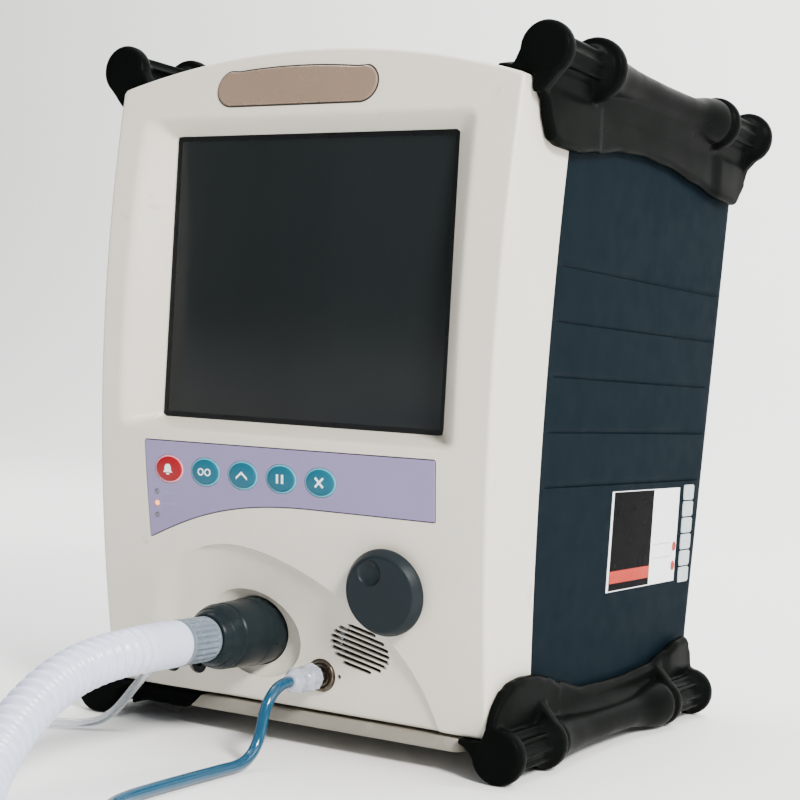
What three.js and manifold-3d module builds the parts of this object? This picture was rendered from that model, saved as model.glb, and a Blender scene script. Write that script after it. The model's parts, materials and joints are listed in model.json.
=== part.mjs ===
// A portable turbine ventilator with its breathing hose and two thin lines.
// Millimetres, +Z up, front towards -Y, +X to the right of somebody facing it.
// The origin is on the floor, below the middle of the machine.

import * as THREE from "three";
import { mergeVertices } from "three/addons/utils/BufferGeometryUtils.js";
import Module from "manifold-3d";

const wasm = await Module();
wasm.setup();

// ---------------------------------------------------------------- driving dimensions

const GAP = 0.3; // clearance between pieces that meet
const WALL = 4; // moulded walls

const SILL_Z = 17; // lower edge of the bezel
const SHOULDER_Z = 296; // its upper corners
const ARCH_RISE = 15.5; // rise of its top edge between the corners
const SILL_HALF = 101; // half widths at those heights
const SHOULDER_HALF = 106;
const CHIN_Y = -110; // front face at the sill and at the shoulders
const BROW_Y = -119.5;
const BOW = 13; // how far the face bows forward between them
const SEAM_Y = -70; // back edge of the bezel, which bows forward too
const SEAM_BOW = 8;
const CASE_INSET = 0.8; // the enclosure stands this far inside the bezel
const REAR_Y = 119;
const REAR_RIM = { low: 44, slope: 0.083, end: 143 }; // the rim leans back above this height
const REACH = 147; // outlet nose in front, oxygen inlet behind

const TRAY = { low: 9.5, high: 15.6, half: 88 };
const TOE = { root: 90, end: 49, long: 30 }; // from the left end to its tip, and from front to back
const RIDGE = { low: 122.3, pitch: 24.5, count: 5, high: 2, deep: 1.2 };

const SPOOL = { radius: 12, hub: 8.5, waist: 7.2, disc: 7.6 };
const SPOOL_TOP = { x: 111.5, z: 307, discs: [-111, -62, 88, 138] };
const SPOOL_BOTTOM = { x: 107.5, z: 11.5, discs: [-111, -70, 66, 109] };

const WINDOW = { x: -2, z: 209, wide: 151, high: 131 }; // clear opening over the screen
const RECESS = { left: -90, right: 86, low: 139, high: 281, front: -127 };
const GLASS_Y = -112.2; // front of the touch panel
const GLASS = { wide: 156, high: 136, thick: 2.5 };

const KEY = { wide: 16, high: 12, first: -62, pitch: 20.7, z: 119.8, proud: 2, deep: 8 };
const LAMP = { x: -69, first: 109, pitch: 5.4, radius: 1.3 };
const OVERLAY_PROUD = 0.9;

const KNOB = { x: 55.4, z: 76, radius: 19, face: 16.5, deep: 7, stand: 1.3 };
const SPEAKER = { x: 37.3, z: 48, half: 16.2, tall: 10, slots: 8, pitch: 2.5, slot: 1.5 };
const OUTLET = { x: -20.5, z: 48.8 };
const GAS = { x: 17, z: 33.5, radius: 7.2 };
const SENSOR = [
  { x: -65, z: 29.5 },
  { x: -50.5, z: 30.5 },
];

const SHELF_Z = 108; // top of the chassis
const BLOWER = { x: OUTLET.x, y: 12, z: 64, radius: 40, high: 44, wall: 3 };
const FAN = { x: 52, z: 210, half: 40, deep: 25, radius: 36 };
const FILTER = { x: -45, z: 220, wide: 84, high: 84 };
const MAINS = { x: 62, z: 62, wide: 27.5, high: 20 };
const ROCKER = { x: 62, z: 96, tilt: THREE.MathUtils.degToRad(8) };
const OXYGEN = { x: -55, z: 78 };
const DATA = { x: -50, z: 135 };

const HOSE = { radius: 9.9 }; // breathing hose
const LINE = { radius: 2.5 }; // blue control line
const SENSE = { radius: 2 }; // clear sensor line

// ---------------------------------------------------------------- shape helpers

const V2 = (x, y) => new THREE.Vector2(x, y);
const V3 = (x, y, z) => new THREE.Vector3(x, y, z);

// A closed geometry as a manifold solid, turned the right way out.
function solid(geometry) {
  const plain = geometry.clone();
  plain.deleteAttribute("normal");
  plain.deleteAttribute("uv");
  const merged = mergeVertices(plain, 1e-4);
  const triVerts = new Uint32Array(merged.index.array);
  const vertProperties = merged.attributes.position.array;
  const made = new wasm.Manifold(new wasm.Mesh({ numProp: 3, vertProperties, triVerts }));
  if (made.volume() > 0) return made;
  for (let i = 0; i < triVerts.length; i += 3) {
    [triVerts[i + 1], triVerts[i + 2]] = [triVerts[i + 2], triVerts[i + 1]];
  }
  return new wasm.Manifold(new wasm.Mesh({ numProp: 3, vertProperties, triVerts }));
}

function geometryOf(manifold) {
  const mesh = manifold.getMesh();
  const geometry = new THREE.BufferGeometry();
  geometry.setAttribute("position", new THREE.BufferAttribute(mesh.vertProperties, 3));
  geometry.setIndex(new THREE.BufferAttribute(mesh.triVerts, 1));
  geometry.computeVertexNormals();
  return geometry;
}

const join = (first, ...rest) => rest.reduce((sum, next) => sum.add(next), first);
const cut = (first, ...rest) => rest.reduce((left, next) => left.subtract(next), first);

// Prisms: an outline in the plane across the named axis, pushed along it.
function extruded(shape, depth) {
  return new THREE.ExtrudeGeometry(shape, { depth, bevelEnabled: false, curveSegments: 2 });
}

function prismY(shape, from, to) {
  return solid(extruded(shape, to - from).rotateX(Math.PI / 2).translate(0, to, 0));
}

function prismX(shape, from, to) {
  const turn = new THREE.Matrix4().makeBasis(V3(0, 1, 0), V3(0, 0, 1), V3(1, 0, 0));
  return solid(extruded(shape, to - from).applyMatrix4(turn).translate(from, 0, 0));
}

function prismZ(shape, from, to) {
  return solid(extruded(shape, to - from).translate(0, 0, from));
}

function polygon(points) {
  return new THREE.Shape(points.map(([x, y]) => V2(x, y)));
}

function rounded(wide, high, radius, x = 0, y = 0) {
  const shape = new THREE.Shape();
  const right = x + wide / 2;
  const top = y + high / 2;
  const left = x - wide / 2;
  const base = y - high / 2;
  shape.moveTo(right, base + radius);
  shape.absarc(right - radius, top - radius, radius, 0, Math.PI / 2);
  shape.absarc(left + radius, top - radius, radius, Math.PI / 2, Math.PI);
  shape.absarc(left + radius, base + radius, radius, Math.PI, 1.5 * Math.PI);
  shape.absarc(right - radius, base + radius, radius, 1.5 * Math.PI, 2 * Math.PI);
  return shape;
}

function box(x0, x1, y0, y1, z0, z1) {
  const geometry = new THREE.BoxGeometry(x1 - x0, y1 - y0, z1 - z0);
  return solid(geometry.translate((x0 + x1) / 2, (y0 + y1) / 2, (z0 + z1) / 2));
}

// A solid of revolution about the Y axis, from [radius, y] pairs that start and end on the axis.
function turned(profile, sides = 20) {
  return solid(new THREE.LatheGeometry(profile.map(([r, y]) => V2(r, y)), sides));
}

// A pipe about the Y axis, from [radius, y] pairs that close on themselves.
function pipe(profile, sides = 20) {
  return turned([...profile, profile[0]], sides);
}

function rod(radius, y0, y1, sides = 16, x = 0, z = 0) {
  const profile = [[0, y0], [radius, y0], [radius, y1], [0, y1]];
  return turned(profile, sides).translate([x, 0, z]);
}

// A block between a rectangle at one depth and another at a second depth.
function tapered(front, frontY0, back, backY0) {
  const corners = [];
  for (const [rect, y] of [[front, frontY0], [back, backY0]]) {
    corners.push([rect.left, y, rect.low], [rect.right, y, rect.low]);
    corners.push([rect.right, y, rect.high], [rect.left, y, rect.high]);
  }
  const faces = [0, 1, 2, 0, 2, 3, 4, 6, 5, 4, 7, 6];
  for (let i = 0; i < 4; i++) {
    const j = (i + 1) % 4;
    faces.push(i, i + 4, j + 4, i, j + 4, j);
  }
  const geometry = new THREE.BufferGeometry();
  geometry.setAttribute("position", new THREE.Float32BufferAttribute(corners.flat(), 3));
  geometry.setIndex(faces);
  return solid(geometry);
}

// ---------------------------------------------------------------- outer form

const heightShare = (z) => (z - SILL_Z) / (SHOULDER_Z - SILL_Z);
const bulge = (z) => 1 - (2 * heightShare(z) - 1) ** 2;
const frontY = (z) => CHIN_Y + (BROW_Y - CHIN_Y) * heightShare(z) - BOW * bulge(z);
const seamY = (z) => SEAM_Y - SEAM_BOW * bulge(z);
const frontLean = (z) => -Math.atan((frontY(z + 1) - frontY(z - 1)) / 2);
const halfWidth = (z) => SILL_HALF + (SHOULDER_HALF - SILL_HALF) * heightShare(z);

// The front outline of the machine in X and Z, moved inwards by inset.
function bodyOutline(inset, lift = inset) {
  const radius = (SHOULDER_HALF ** 2 + ARCH_RISE ** 2) / (2 * ARCH_RISE) - inset;
  const middle = SHOULDER_Z + ARCH_RISE - radius - inset;
  const half = SHOULDER_HALF - inset;
  const swing = Math.asin(half / radius);
  const points = [[-(SILL_HALF - inset), SILL_Z + lift], [SILL_HALF - inset, SILL_Z + lift]];
  const steps = 10;
  for (let i = 0; i <= steps; i++) {
    const angle = swing - (2 * swing * i) / steps;
    points.push([radius * Math.sin(angle), middle + radius * Math.cos(angle)]);
  }
  return polygon(points);
}

// A band that follows the front face: from near to far behind the face (negative is in front).
function faceBand(near, far, low = 5, high = 315, steps = 14) {
  const rail = (offset) => {
    const points = [];
    for (let i = 0; i <= steps; i++) {
      const z = low + ((high - low) * i) / steps;
      points.push([frontY(z) + offset, z]);
    }
    return points;
  };
  return prismX(polygon([...rail(far), ...rail(near).reverse()]), -125, 125);
}

// Everything between the face, moved back by offset, and the seam, moved by give.
function betweenFaceAndSeam(offset, seam) {
  const low = 5;
  const high = 315;
  const steps = 14;
  const front = [];
  const back = [];
  for (let i = 0; i <= steps; i++) {
    const z = low + ((high - low) * i) / steps;
    front.push([frontY(z) + offset, z]);
    back.push([seam(z), z]);
  }
  return prismX(polygon([...back, ...front.reverse()]), -125, 125);
}

// ---------------------------------------------------------------- bezel

// The arched hollow that the lower fittings stand in.
function swooshOutline() {
  const shape = new THREE.Shape();
  shape.moveTo(-66, 10);
  shape.lineTo(-71, 40);
  shape.bezierCurveTo(-74, 62, -64, 84, -32, 88);
  shape.bezierCurveTo(-4, 90, 30, 72, 50, 58);
  shape.bezierCurveTo(66, 46, 76, 30, 81, 10);
  shape.closePath();
  return shape;
}

function overlayOutline(inset = 0) {
  const shape = new THREE.Shape();
  shape.moveTo(-77 + inset, 133 - inset);
  shape.lineTo(-73.5 + inset, 87 + inset);
  shape.bezierCurveTo(-50, 98 + inset, -30, 107 + inset, 14, 107.2 + inset);
  shape.lineTo(78.6 - inset, 107 + inset);
  shape.lineTo(78.2 - inset, 134 - inset);
  shape.closePath();
  return shape;
}

const keyX = (index) => KEY.first + KEY.pitch * index;
const lampZ = (index) => LAMP.first - LAMP.pitch * index;

function keyHoles(clearance) {
  const holes = [];
  for (let i = 0; i < 5; i++) {
    const wide = KEY.wide + 2 * clearance;
    const high = KEY.high + 2 * clearance;
    holes.push(prismY(rounded(wide, high, 2, keyX(i), KEY.z), -140, -100));
  }
  return holes;
}

function lampHoles(clearance) {
  const holes = [];
  for (let i = 0; i < 3; i++) {
    holes.push(rod(LAMP.radius + clearance, -140, -100, 10, LAMP.x, lampZ(i)));
  }
  return holes;
}

function speakerSlots() {
  const slots = [];
  const tilt = THREE.MathUtils.degToRad(12);
  const middle = (SPEAKER.slots - 1) / 2;
  for (let i = 0; i < SPEAKER.slots; i++) {
    const offset = (i - middle) * SPEAKER.pitch;
    const half = SPEAKER.half * Math.sqrt(1 - (offset / SPEAKER.tall) ** 2);
    const slot = new THREE.BoxGeometry(2 * half, 40, SPEAKER.slot);
    slot.translate(0, 0, offset).rotateY(tilt).translate(SPEAKER.x, -115, SPEAKER.z);
    slots.push(solid(slot));
  }
  return slots;
}

function frontBezel() {
  const outside = prismY(bodyOutline(0), -140, -55).intersect(betweenFaceAndSeam(0, seamY));
  const inside = prismY(bodyOutline(WALL), -140, -55);
  const hollow = inside.intersect(betweenFaceAndSeam(WALL, () => -50));
  const surround = box(-94, 91, -127, -109, 135, 285).intersect(faceBand(1, 30));
  const opening = {
    left: WINDOW.x - WINDOW.wide / 2,
    right: WINDOW.x + WINDOW.wide / 2,
    low: WINDOW.z - WINDOW.high / 2,
    high: WINDOW.z + WINDOW.high / 2,
  };
  const lipY = GLASS_Y - 1;
  const { left, right, low, high } = opening;
  const pocket = { wide: GLASS.wide + 2 * GAP, high: GLASS.high + 2 * GAP };
  const pocketX = WINDOW.x - pocket.wide / 2;
  const pocketZ = WINDOW.z - pocket.high / 2;
  const boss = rod(17.5, -121, -100, 24, OUTLET.x, OUTLET.z).intersect(faceBand(1, 40));
  const scoop = solid(new THREE.SphereGeometry(1, 24, 14).scale(24, 9, 19));
  return cut(
    join(outside.subtract(hollow), surround, boss),
    box(RECESS.left, RECESS.right, -140, RECESS.front, RECESS.low, RECESS.high),
    tapered(RECESS, RECESS.front - 0.01, opening, lipY),
    box(left, right, lipY - 0.01, -100, low, high),
    box(pocketX, pocketX + pocket.wide, GLASS_Y - GAP, -90, pocketZ, pocketZ + pocket.high),
    prismY(swooshOutline(), -140, -100).intersect(faceBand(-5, 2)),
    scoop.translate([OUTLET.x - 1, frontY(OUTLET.z) + 1, OUTLET.z]),
    rod(15.9, -140, -95, 24, OUTLET.x, OUTLET.z),
    rod(GAS.radius + GAP, -140, -95, 18, GAS.x, GAS.z),
    ...SENSOR.map(({ x, z }) => rod(5, -140, -95, 14, x, z)),
    rod(6.4, -140, -95, 12, KNOB.x, KNOB.z),
    ...speakerSlots(),
    ...keyHoles(GAP),
    ...lampHoles(GAP),
  );
}

function nameplate() {
  const shape = rounded(84, 16.4, 5, -7.5, 295);
  return prismY(shape, -140, -100).intersect(faceBand(-1.6, -GAP));
}

function keypadOverlay() {
  const skin = prismY(overlayOutline(), -140, -100).intersect(faceBand(-OVERLAY_PROUD, -GAP));
  return cut(skin, ...keyHoles(GAP), ...lampHoles(GAP));
}

function keyCap(index) {
  const shape = rounded(KEY.wide, KEY.high, 2, keyX(index), KEY.z);
  return prismY(shape, -140, -100).intersect(faceBand(-KEY.proud - OVERLAY_PROUD, KEY.deep));
}

function lamp(index) {
  const body = rod(LAMP.radius, -140, -100, 10, LAMP.x, lampZ(index));
  return body.intersect(faceBand(-1.5, KEY.deep - 2));
}

// ---------------------------------------------------------------- enclosure, tray and bumpers

function caseRidges() {
  const grooves = [];
  for (let i = 0; i < RIDGE.count; i++) {
    const z = RIDGE.low + RIDGE.pitch * i;
    const wall = halfWidth(z) - CASE_INSET;
    for (const side of [-1, 1]) {
      const outline = polygon([
        [side * (wall - RIDGE.deep), z],
        [side * (wall + 3), z + RIDGE.high],
        [side * (wall + 3), z],
      ]);
      grooves.push(prismY(outline, SEAM_Y + 12, REAR_Y - 8));
    }
  }
  return grooves;
}

// What lies behind the leaning rim of the enclosure.
function behindRim() {
  const { low, slope, end } = REAR_RIM;
  const top = 340;
  return prismX(polygon([
    [REAR_Y, -10],
    [end + 10, -10],
    [end + 10, top],
    [REAR_Y + slope * (top - low), top],
    [REAR_Y, low],
  ]), -150, 150);
}

function rearEnclosure() {
  const caseSeam = (z) => seamY(z) + GAP;
  const front = betweenFaceAndSeam(-20, caseSeam);
  const block = prismY(bodyOutline(CASE_INSET), -90, REAR_RIM.end);
  const inner = prismY(bodyOutline(CASE_INSET + WALL), -95, REAR_Y - 6);
  const rearDoor = prismY(rounded(184, 252, 8, 0, 162), REAR_Y - 10, REAR_RIM.end + 1);
  return cut(block, front, behindRim(), inner, rearDoor, ...caseRidges());
}

function backPanel() {
  const face = REAR_Y - 0.4;
  const plate = prismY(rounded(183.4, 251.4, 7.7, 0, 162), REAR_Y - 2.4, face);
  const lowFace = REAR_Y - 20;
  return cut(
    plate,
    rod(FAN.radius, lowFace, REAR_Y + 5, 24, FAN.x, FAN.z),
    prismY(rounded(FILTER.wide - 14, FILTER.high - 14, 4, FILTER.x, FILTER.z), lowFace, REAR_Y + 5),
    prismY(rounded(MAINS.wide + 0.8, MAINS.high + 0.8, 2, MAINS.x, MAINS.z), lowFace, REAR_Y + 5),
    prismY(rounded(21.8, 13.8, 1, ROCKER.x, ROCKER.z), lowFace, REAR_Y + 5),
    rod(8.4, lowFace, REAR_Y + 5, 18, OXYGEN.x, OXYGEN.z),
    prismY(rounded(40.6, 12.6, 2, DATA.x, DATA.z), lowFace, REAR_Y + 5),
  );
}

function baseTray() {
  const front = CHIN_Y + 0.5;
  const shape = rounded(2 * TRAY.half, REAR_Y - front, 5, 0, (REAR_Y + front) / 2);
  const plate = prismZ(shape, TRAY.low, TRAY.high);
  const pocket = rounded(2 * TRAY.half - 12, REAR_Y - front - 30, 4, 0, (REAR_Y + front) / 2);
  const corner = prismY(polygon([
    [-100, 0],
    [-TOE.end - 6.2, 0],
    [-TOE.end - 6.2, TRAY.low],
    [-TOE.end + 1.3, SILL_Z],
    [-100, SILL_Z],
  ]), CHIN_Y - 5, CHIN_Y + TOE.long + 2 * GAP);
  return cut(plate, prismZ(pocket, TRAY.low + 3, TRAY.high + 1), corner);
}

// The spool that runs along an edge: a pair of discs at each end and a waist between.
function spool(discs) {
  const { radius, hub, waist, disc } = SPOOL;
  const profile = [[0, discs[0] - disc / 2]];
  discs.forEach((y, index) => {
    const low = y - disc / 2;
    const high = y + disc / 2;
    profile.push([radius - 2, low], [radius, low + 2], [radius, high - 2], [radius - 2, high]);
    if (index === 0 || index === 2) profile.push([hub, high + 3], [hub, discs[index + 1] - 7]);
    if (index === 1) profile.push([hub, high + 14], [waist, 5], [hub, discs[2] - 20]);
  });
  profile.push([0, discs[3] + disc / 2]);
  return turned(profile, 12);
}

// The saddle that laps over the edge: a tail on top, a corner web and a skirt down the side.
function saddle(corner) {
  const { x, z, discs, up, edgeX, edgeZ } = corner;
  const tail = edgeX - 19;
  const outline = polygon([
    [tail, edgeZ + up * 6],
    [x - 6, z + up * 3],
    [x + 3, z - up * 4],
    [edgeX + 3.2, edgeZ - up * 8],
    [edgeX + 2.6, edgeZ - up * 26],
    [edgeX - 4, edgeZ - up * 26],
    [tail, edgeZ - up * 6],
  ]);
  const length = prismY(outline, discs[0] + 2, discs[3]);
  const middle = (discs[0] + discs[3]) / 2;
  const half = (discs[3] - discs[0]) / 2 - 37;
  const arch = [];
  const steps = 8;
  for (let i = 0; i <= steps; i++) {
    const share = (2 * i) / steps - 1;
    const depth = 26.5 - 12.5 * (1 - share ** 2);
    arch.push([middle + half * share, edgeZ - up * depth]);
  }
  return length.subtract(prismX(polygon(arch), x - 25, x + 25));
}

// A tongue of the lower left bumper that laps under the sill, in a notch of the tray.
function toe() {
  const low = TRAY.low - 1.2;
  const outline = polygon([
    [-TOE.root, SILL_Z - 2 * GAP],
    [-TOE.root, low - 3],
    [-TOE.root + 6, low],
    [-TOE.end - 8, low],
    [-TOE.end, SILL_Z - 2 * GAP],
  ]);
  return prismY(outline, CHIN_Y + 0.5, CHIN_Y + TOE.long);
}

function bumper(side, top) {
  const place = top ? SPOOL_TOP : SPOOL_BOTTOM;
  const corner = {
    ...place,
    up: top ? 1 : -1,
    edgeX: top ? SHOULDER_HALF : SILL_HALF,
    edgeZ: top ? SHOULDER_Z : SILL_Z,
  };
  const whole = join(spool(place.discs).translate([place.x, 0, place.z]), saddle(corner));
  const body = prismY(bodyOutline(-2 * GAP), -160, 160);
  const floor = box(0, 140, -160, 160, -10, 0);
  const tray = box(0, TRAY.half + GAP, -160, 160, 0, SILL_Z);
  const right = cut(whole, body, floor, tray);
  if (side > 0) return right;
  const left = right.mirror([1, 0, 0]);
  return top ? left : join(left, toe());
}

// Labels on the right side wall: flat plates that lie on the sloping wall.
function wallPlate(y0, y1, z0, z1, thick) {
  const wall = (z) => halfWidth(z) - CASE_INSET + GAP;
  const outline = polygon([
    [wall(z0), z0],
    [wall(z0) + thick, z0],
    [wall(z1) + thick, z1],
    [wall(z1), z1],
  ]);
  return prismY(outline, y0, y1);
}

// ---------------------------------------------------------------- controls and fittings

function controlKnob() {
  const back = -KNOB.stand;
  const front = back - KNOB.deep;
  const profile = [
    [0, back],
    [KNOB.radius - 1.2, back],
    [KNOB.radius, back - 2],
    [KNOB.radius, back - 2.9],
    [KNOB.face, front],
    [0, front],
  ];
  const dimple = solid(new THREE.SphereGeometry(9, 18, 12));
  const socket = rod(3.2, back - 6, 1, 12);
  return cut(turned(profile, 24), dimple.translate([-4.9, front - 6.9, 9.2]), socket);
}

function encoderPieces() {
  const bushing = rod(5, 1, 13, 12);
  const bore = rod(3.8, 0, 19, 12);
  const body = join(bushing, box(-8, 8, 12, 20, -7, 7)).subtract(bore);
  const sleeve = pipe([[2.7, 2.5], [3.5, 2.5], [3.5, 16], [2.7, 16]], 12);
  const shaft = rod(2.4, -6.8, 15.5, 12);
  return { body, sleeve, shaft };
}

function portAdapter() {
  const profile = [
    [9, -102],
    [15.5, -102],
    [15.5, -117],
    [14.8, -118.5],
    [14.6, -135.6],
    [14.1, -136.4],
    [14.6, -137.2],
    [13.6, 6 - REACH],
    [12.4, 3.6 - REACH],
    [10.4, -REACH],
    [9, -REACH],
  ];
  return pipe(profile, 24);
}

function outletTube() {
  return pipe([[9, -60], [12, -60], [12, -102 + GAP], [9, -102 + GAP]].reverse(), 20);
}

function gasPort() {
  const face = frontY(GAS.z) + 2;
  const profile = [
    [2, face + 22],
    [5, face + 22],
    [5, face + 8],
    [GAS.radius, face + 8],
    [GAS.radius, face + 1],
    [3.6, face + 1],
    [3.6, face - 4],
    [2, face - 4],
  ];
  return pipe(profile, 16);
}

function sensorPorts() {
  const face = frontY(SENSOR[0].z);
  const low = 22.5;
  const inner = frontY(low) + WALL + GAP;
  const block = box(-74, -42, inner, inner + 7, low, 38);
  const barbs = SENSOR.map(({ x, z }) => rod(4.6, face + 2.6, inner + 3, 12, x, z));
  const bores = SENSOR.map(({ x, z }) => rod(2.1, face - 3, inner + 20, 8, x, z));
  return cut(join(block, ...barbs), ...bores);
}

function speakerFrame() {
  const front = 9.5;
  const profile = [
    [12.5, front],
    [16.5, front],
    [16.5, front + 2],
    [12, front + 10],
    [12, front + 17],
    [9, front + 17],
    [9, front + 10],
    [12.5, front + 3],
  ];
  return pipe(profile, 16);
}

function speakerCone() {
  const rim = 10.5;
  const front = [[0, rim + 6], [5, rim + 5.4], [12, rim]];
  const back = [[12, rim + 0.9], [5, rim + 7], [0, rim + 7.4]];
  return turned([...front, ...back].reverse(), 16);
}

// ---------------------------------------------------------------- inside

function chassis() {
  const legs = polygon([
    [-92, 22], [-92, SHELF_Z], [92, SHELF_Z], [92, 22], [90, 22], [90, SHELF_Z - 2],
    [-90, SHELF_Z - 2], [-90, 22],
  ]);
  const slot = prismZ(rounded(40, 60, 8, 55, 30), SHELF_Z - 5, SHELF_Z + 1);
  return prismY(legs, -55, 100).subtract(slot);
}

// The blower: a drum on its side with an intake behind and a duct to the outlet tube.
function blowerHousing() {
  const { radius, wall, high } = BLOWER;
  const front = -high / 2;
  const back = high / 2;
  const drum = rod(radius, front, back, 22);
  const duct = rod(12, -70, front + 1, 16, 0, OUTLET.z - BLOWER.z);
  const bore = rod(9, -72, front + 6, 16, 0, OUTLET.z - BLOWER.z);
  const room = rod(radius - wall, front + wall, back - wall, 22);
  const intake = rod(16, 0, back + 1, 16);
  const feet = box(-30, 30, front, back, 22 - BLOWER.z, 27 - BLOWER.z);
  return cut(join(drum, duct, feet), room, bore, intake);
}

function blowerImpeller() {
  const reach = BLOWER.radius - BLOWER.wall - 3;
  const plate = rod(reach, -2, 1, 18);
  const hub = rod(7, -2, 14, 12);
  const blades = [];
  const count = 9;
  for (let i = 0; i < count; i++) {
    const blade = new THREE.BoxGeometry(reach - 10, 12.5, 1.6);
    blade.translate((reach + 10) / 2 - 1, 6.5, 4).rotateY((2 * Math.PI * i) / count);
    blades.push(solid(blade));
  }
  return join(plate, hub, ...blades);
}

function fanFrame() {
  const frame = prismY(rounded(2 * FAN.half, 2 * FAN.half, 5), -FAN.deep, 0);
  const tunnel = rod(FAN.radius + 0.6, -FAN.deep - 1, 1, 24);
  const motor = rod(13, -FAN.deep, -FAN.deep + 3, 16);
  const arms = [];
  for (let i = 0; i < 4; i++) {
    const arm = new THREE.BoxGeometry(28, 3, 4);
    arm.translate(25, 1.5 - FAN.deep, 0).rotateY((Math.PI * (2 * i + 1)) / 4);
    arms.push(solid(arm));
  }
  return join(frame.subtract(tunnel), motor, ...arms);
}

function fanRotor() {
  const hub = rod(14, -FAN.deep + 4.5, -2, 18);
  const blades = [];
  const count = 7;
  for (let i = 0; i < count; i++) {
    const blade = new THREE.BoxGeometry(FAN.radius - 15, 1.6, 17);
    const middle = (FAN.radius + 13) / 2 - 0.5;
    blade.rotateX(0.7).translate(middle, -FAN.deep / 2 + 1, 0);
    blade.rotateY((2 * Math.PI * i) / count);
    blades.push(solid(blade));
  }
  return join(hub, ...blades);
}

// ---------------------------------------------------------------- rear fittings

function mainsInlet() {
  const face = REAR_Y + 2.5;
  const flange = prismY(rounded(48, 26, 4, MAINS.x, MAINS.z), REAR_Y - 0.1, face);
  const body = prismY(rounded(MAINS.wide, MAINS.high, 2, MAINS.x, MAINS.z), REAR_Y - 24, face);
  const well = prismY(rounded(24, 16.5, 3, MAINS.x, MAINS.z), REAR_Y - 16, face + 1);
  const pins = [-7, 0, 7].map((offset) => {
    const rise = offset === 0 ? 4 : 0;
    const x = MAINS.x + offset;
    const z = MAINS.z - 2 + rise;
    return box(x - 1, x + 1, REAR_Y - 18, REAR_Y - 3, z - 2, z + 2);
  });
  return join(cut(join(flange, body), well), ...pins);
}

function rockerFrame() {
  const flange = prismY(rounded(24, 16, 1.5, ROCKER.x, ROCKER.z), REAR_Y - 0.1, REAR_Y + 1.5);
  const body = prismY(rounded(21, 13, 1, ROCKER.x, ROCKER.z), REAR_Y - 16, REAR_Y + 1);
  const well = prismY(rounded(17.6, 9.6, 1, ROCKER.x, ROCKER.z), REAR_Y - 11, REAR_Y + 2);
  return cut(join(flange, body), well);
}

// The rocker turns about an X-wise pin; its two faces meet in a shallow V.
function rockerPaddle() {
  const outline = polygon([[-6, -2.6], [-2, -4], [3.6, -4.2], [1.6, 0], [3.6, 4.2], [-2, 4], [-6, 2.6]]);
  return prismX(outline, -8.4, 8.4);
}

function oxygenInlet() {
  const nut = pipe([[4, REAR_Y], [11, REAR_Y], [11, REAR_Y + 7], [4, REAR_Y + 7]].reverse(), 6);
  const stem = [
    [4, REAR_Y - 18],
    [8, REAR_Y - 18],
    [8, REACH - 1],
    [7, REACH],
    [4, REACH],
  ];
  return join(nut, pipe(stem, 18));
}

function filterCover() {
  const { x, z, wide, high } = FILTER;
  const shell = prismY(rounded(wide, high, 6, x, z), REAR_Y, REAR_Y + 9);
  const hollow = prismY(rounded(wide - 5, high - 5, 4, x, z), REAR_Y - 1, REAR_Y + 6.5);
  const louvres = [];
  const count = 8;
  for (let i = 0; i < count; i++) {
    const level = z - high / 2 + 10 + (i * (high - 20)) / (count - 1);
    louvres.push(box(x - wide / 2 + 9, x + wide / 2 - 9, REAR_Y, REAR_Y + 12, level - 1.6, level + 1.6));
  }
  return cut(shell, hollow, ...louvres);
}

function dataPorts() {
  const body = prismY(rounded(40, 12, 2, DATA.x, DATA.z), REAR_Y - 14, REAR_Y + 1);
  const flange = prismY(rounded(46, 18, 2, DATA.x, DATA.z), REAR_Y - 0.1, REAR_Y + 1.2);
  const wells = [-10, 10].map((offset) => {
    const x = DATA.x + offset;
    return box(x - 7, x + 7, REAR_Y - 9, REAR_Y + 3, DATA.z - 3.7, DATA.z + 3.7);
  });
  return cut(join(body, flange), ...wells);
}

// ---------------------------------------------------------------- hose and lines

// A tube along a smooth curve through the points, with one step every few diameters.
function tube(points, radius, sides, step) {
  const curve = new THREE.CatmullRomCurve3(points.map(([x, y, z]) => V3(x, y, z)), false, "centripetal");
  const section = new THREE.Shape();
  for (let i = 0; i < sides; i++) {
    const angle = (2 * Math.PI * i) / sides;
    const x = radius * Math.cos(angle);
    const y = radius * Math.sin(angle);
    if (i === 0) section.moveTo(x, y);
    else section.lineTo(x, y);
  }
  section.closePath();
  const steps = Math.round(curve.getLength() / step);
  return solid(new THREE.ExtrudeGeometry(section, { steps, extrudePath: curve, bevelEnabled: false }));
}

// The ring that a round coil fills on the floor, about the Z axis.
function coilRing({ x, y, inner, outer, high }, grow = 0, sides = 28) {
  const low = -2 * grow;
  const top = high + grow;
  const profile = [
    V2(inner - grow, low),
    V2(outer + grow, low),
    V2(outer + grow, top),
    V2(inner - grow, top),
    V2(inner - grow, low),
  ];
  const ring = new THREE.LatheGeometry(profile, sides).rotateX(Math.PI / 2);
  return solid(ring.translate(x, y, 0));
}

// A loose stretch that ends where it meets its coil.
function stretch(route, radius, sides, step, coil) {
  return tube(route, radius, sides, step).subtract(coilRing(coil, GAP));
}

// The last turn of a coil leaves it along a tangent and comes down to the floor.
function coilWithTail(coil, tail, radius) {
  return join(coilRing(coil), tube(tail, radius, 8, 4 * radius));
}

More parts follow.
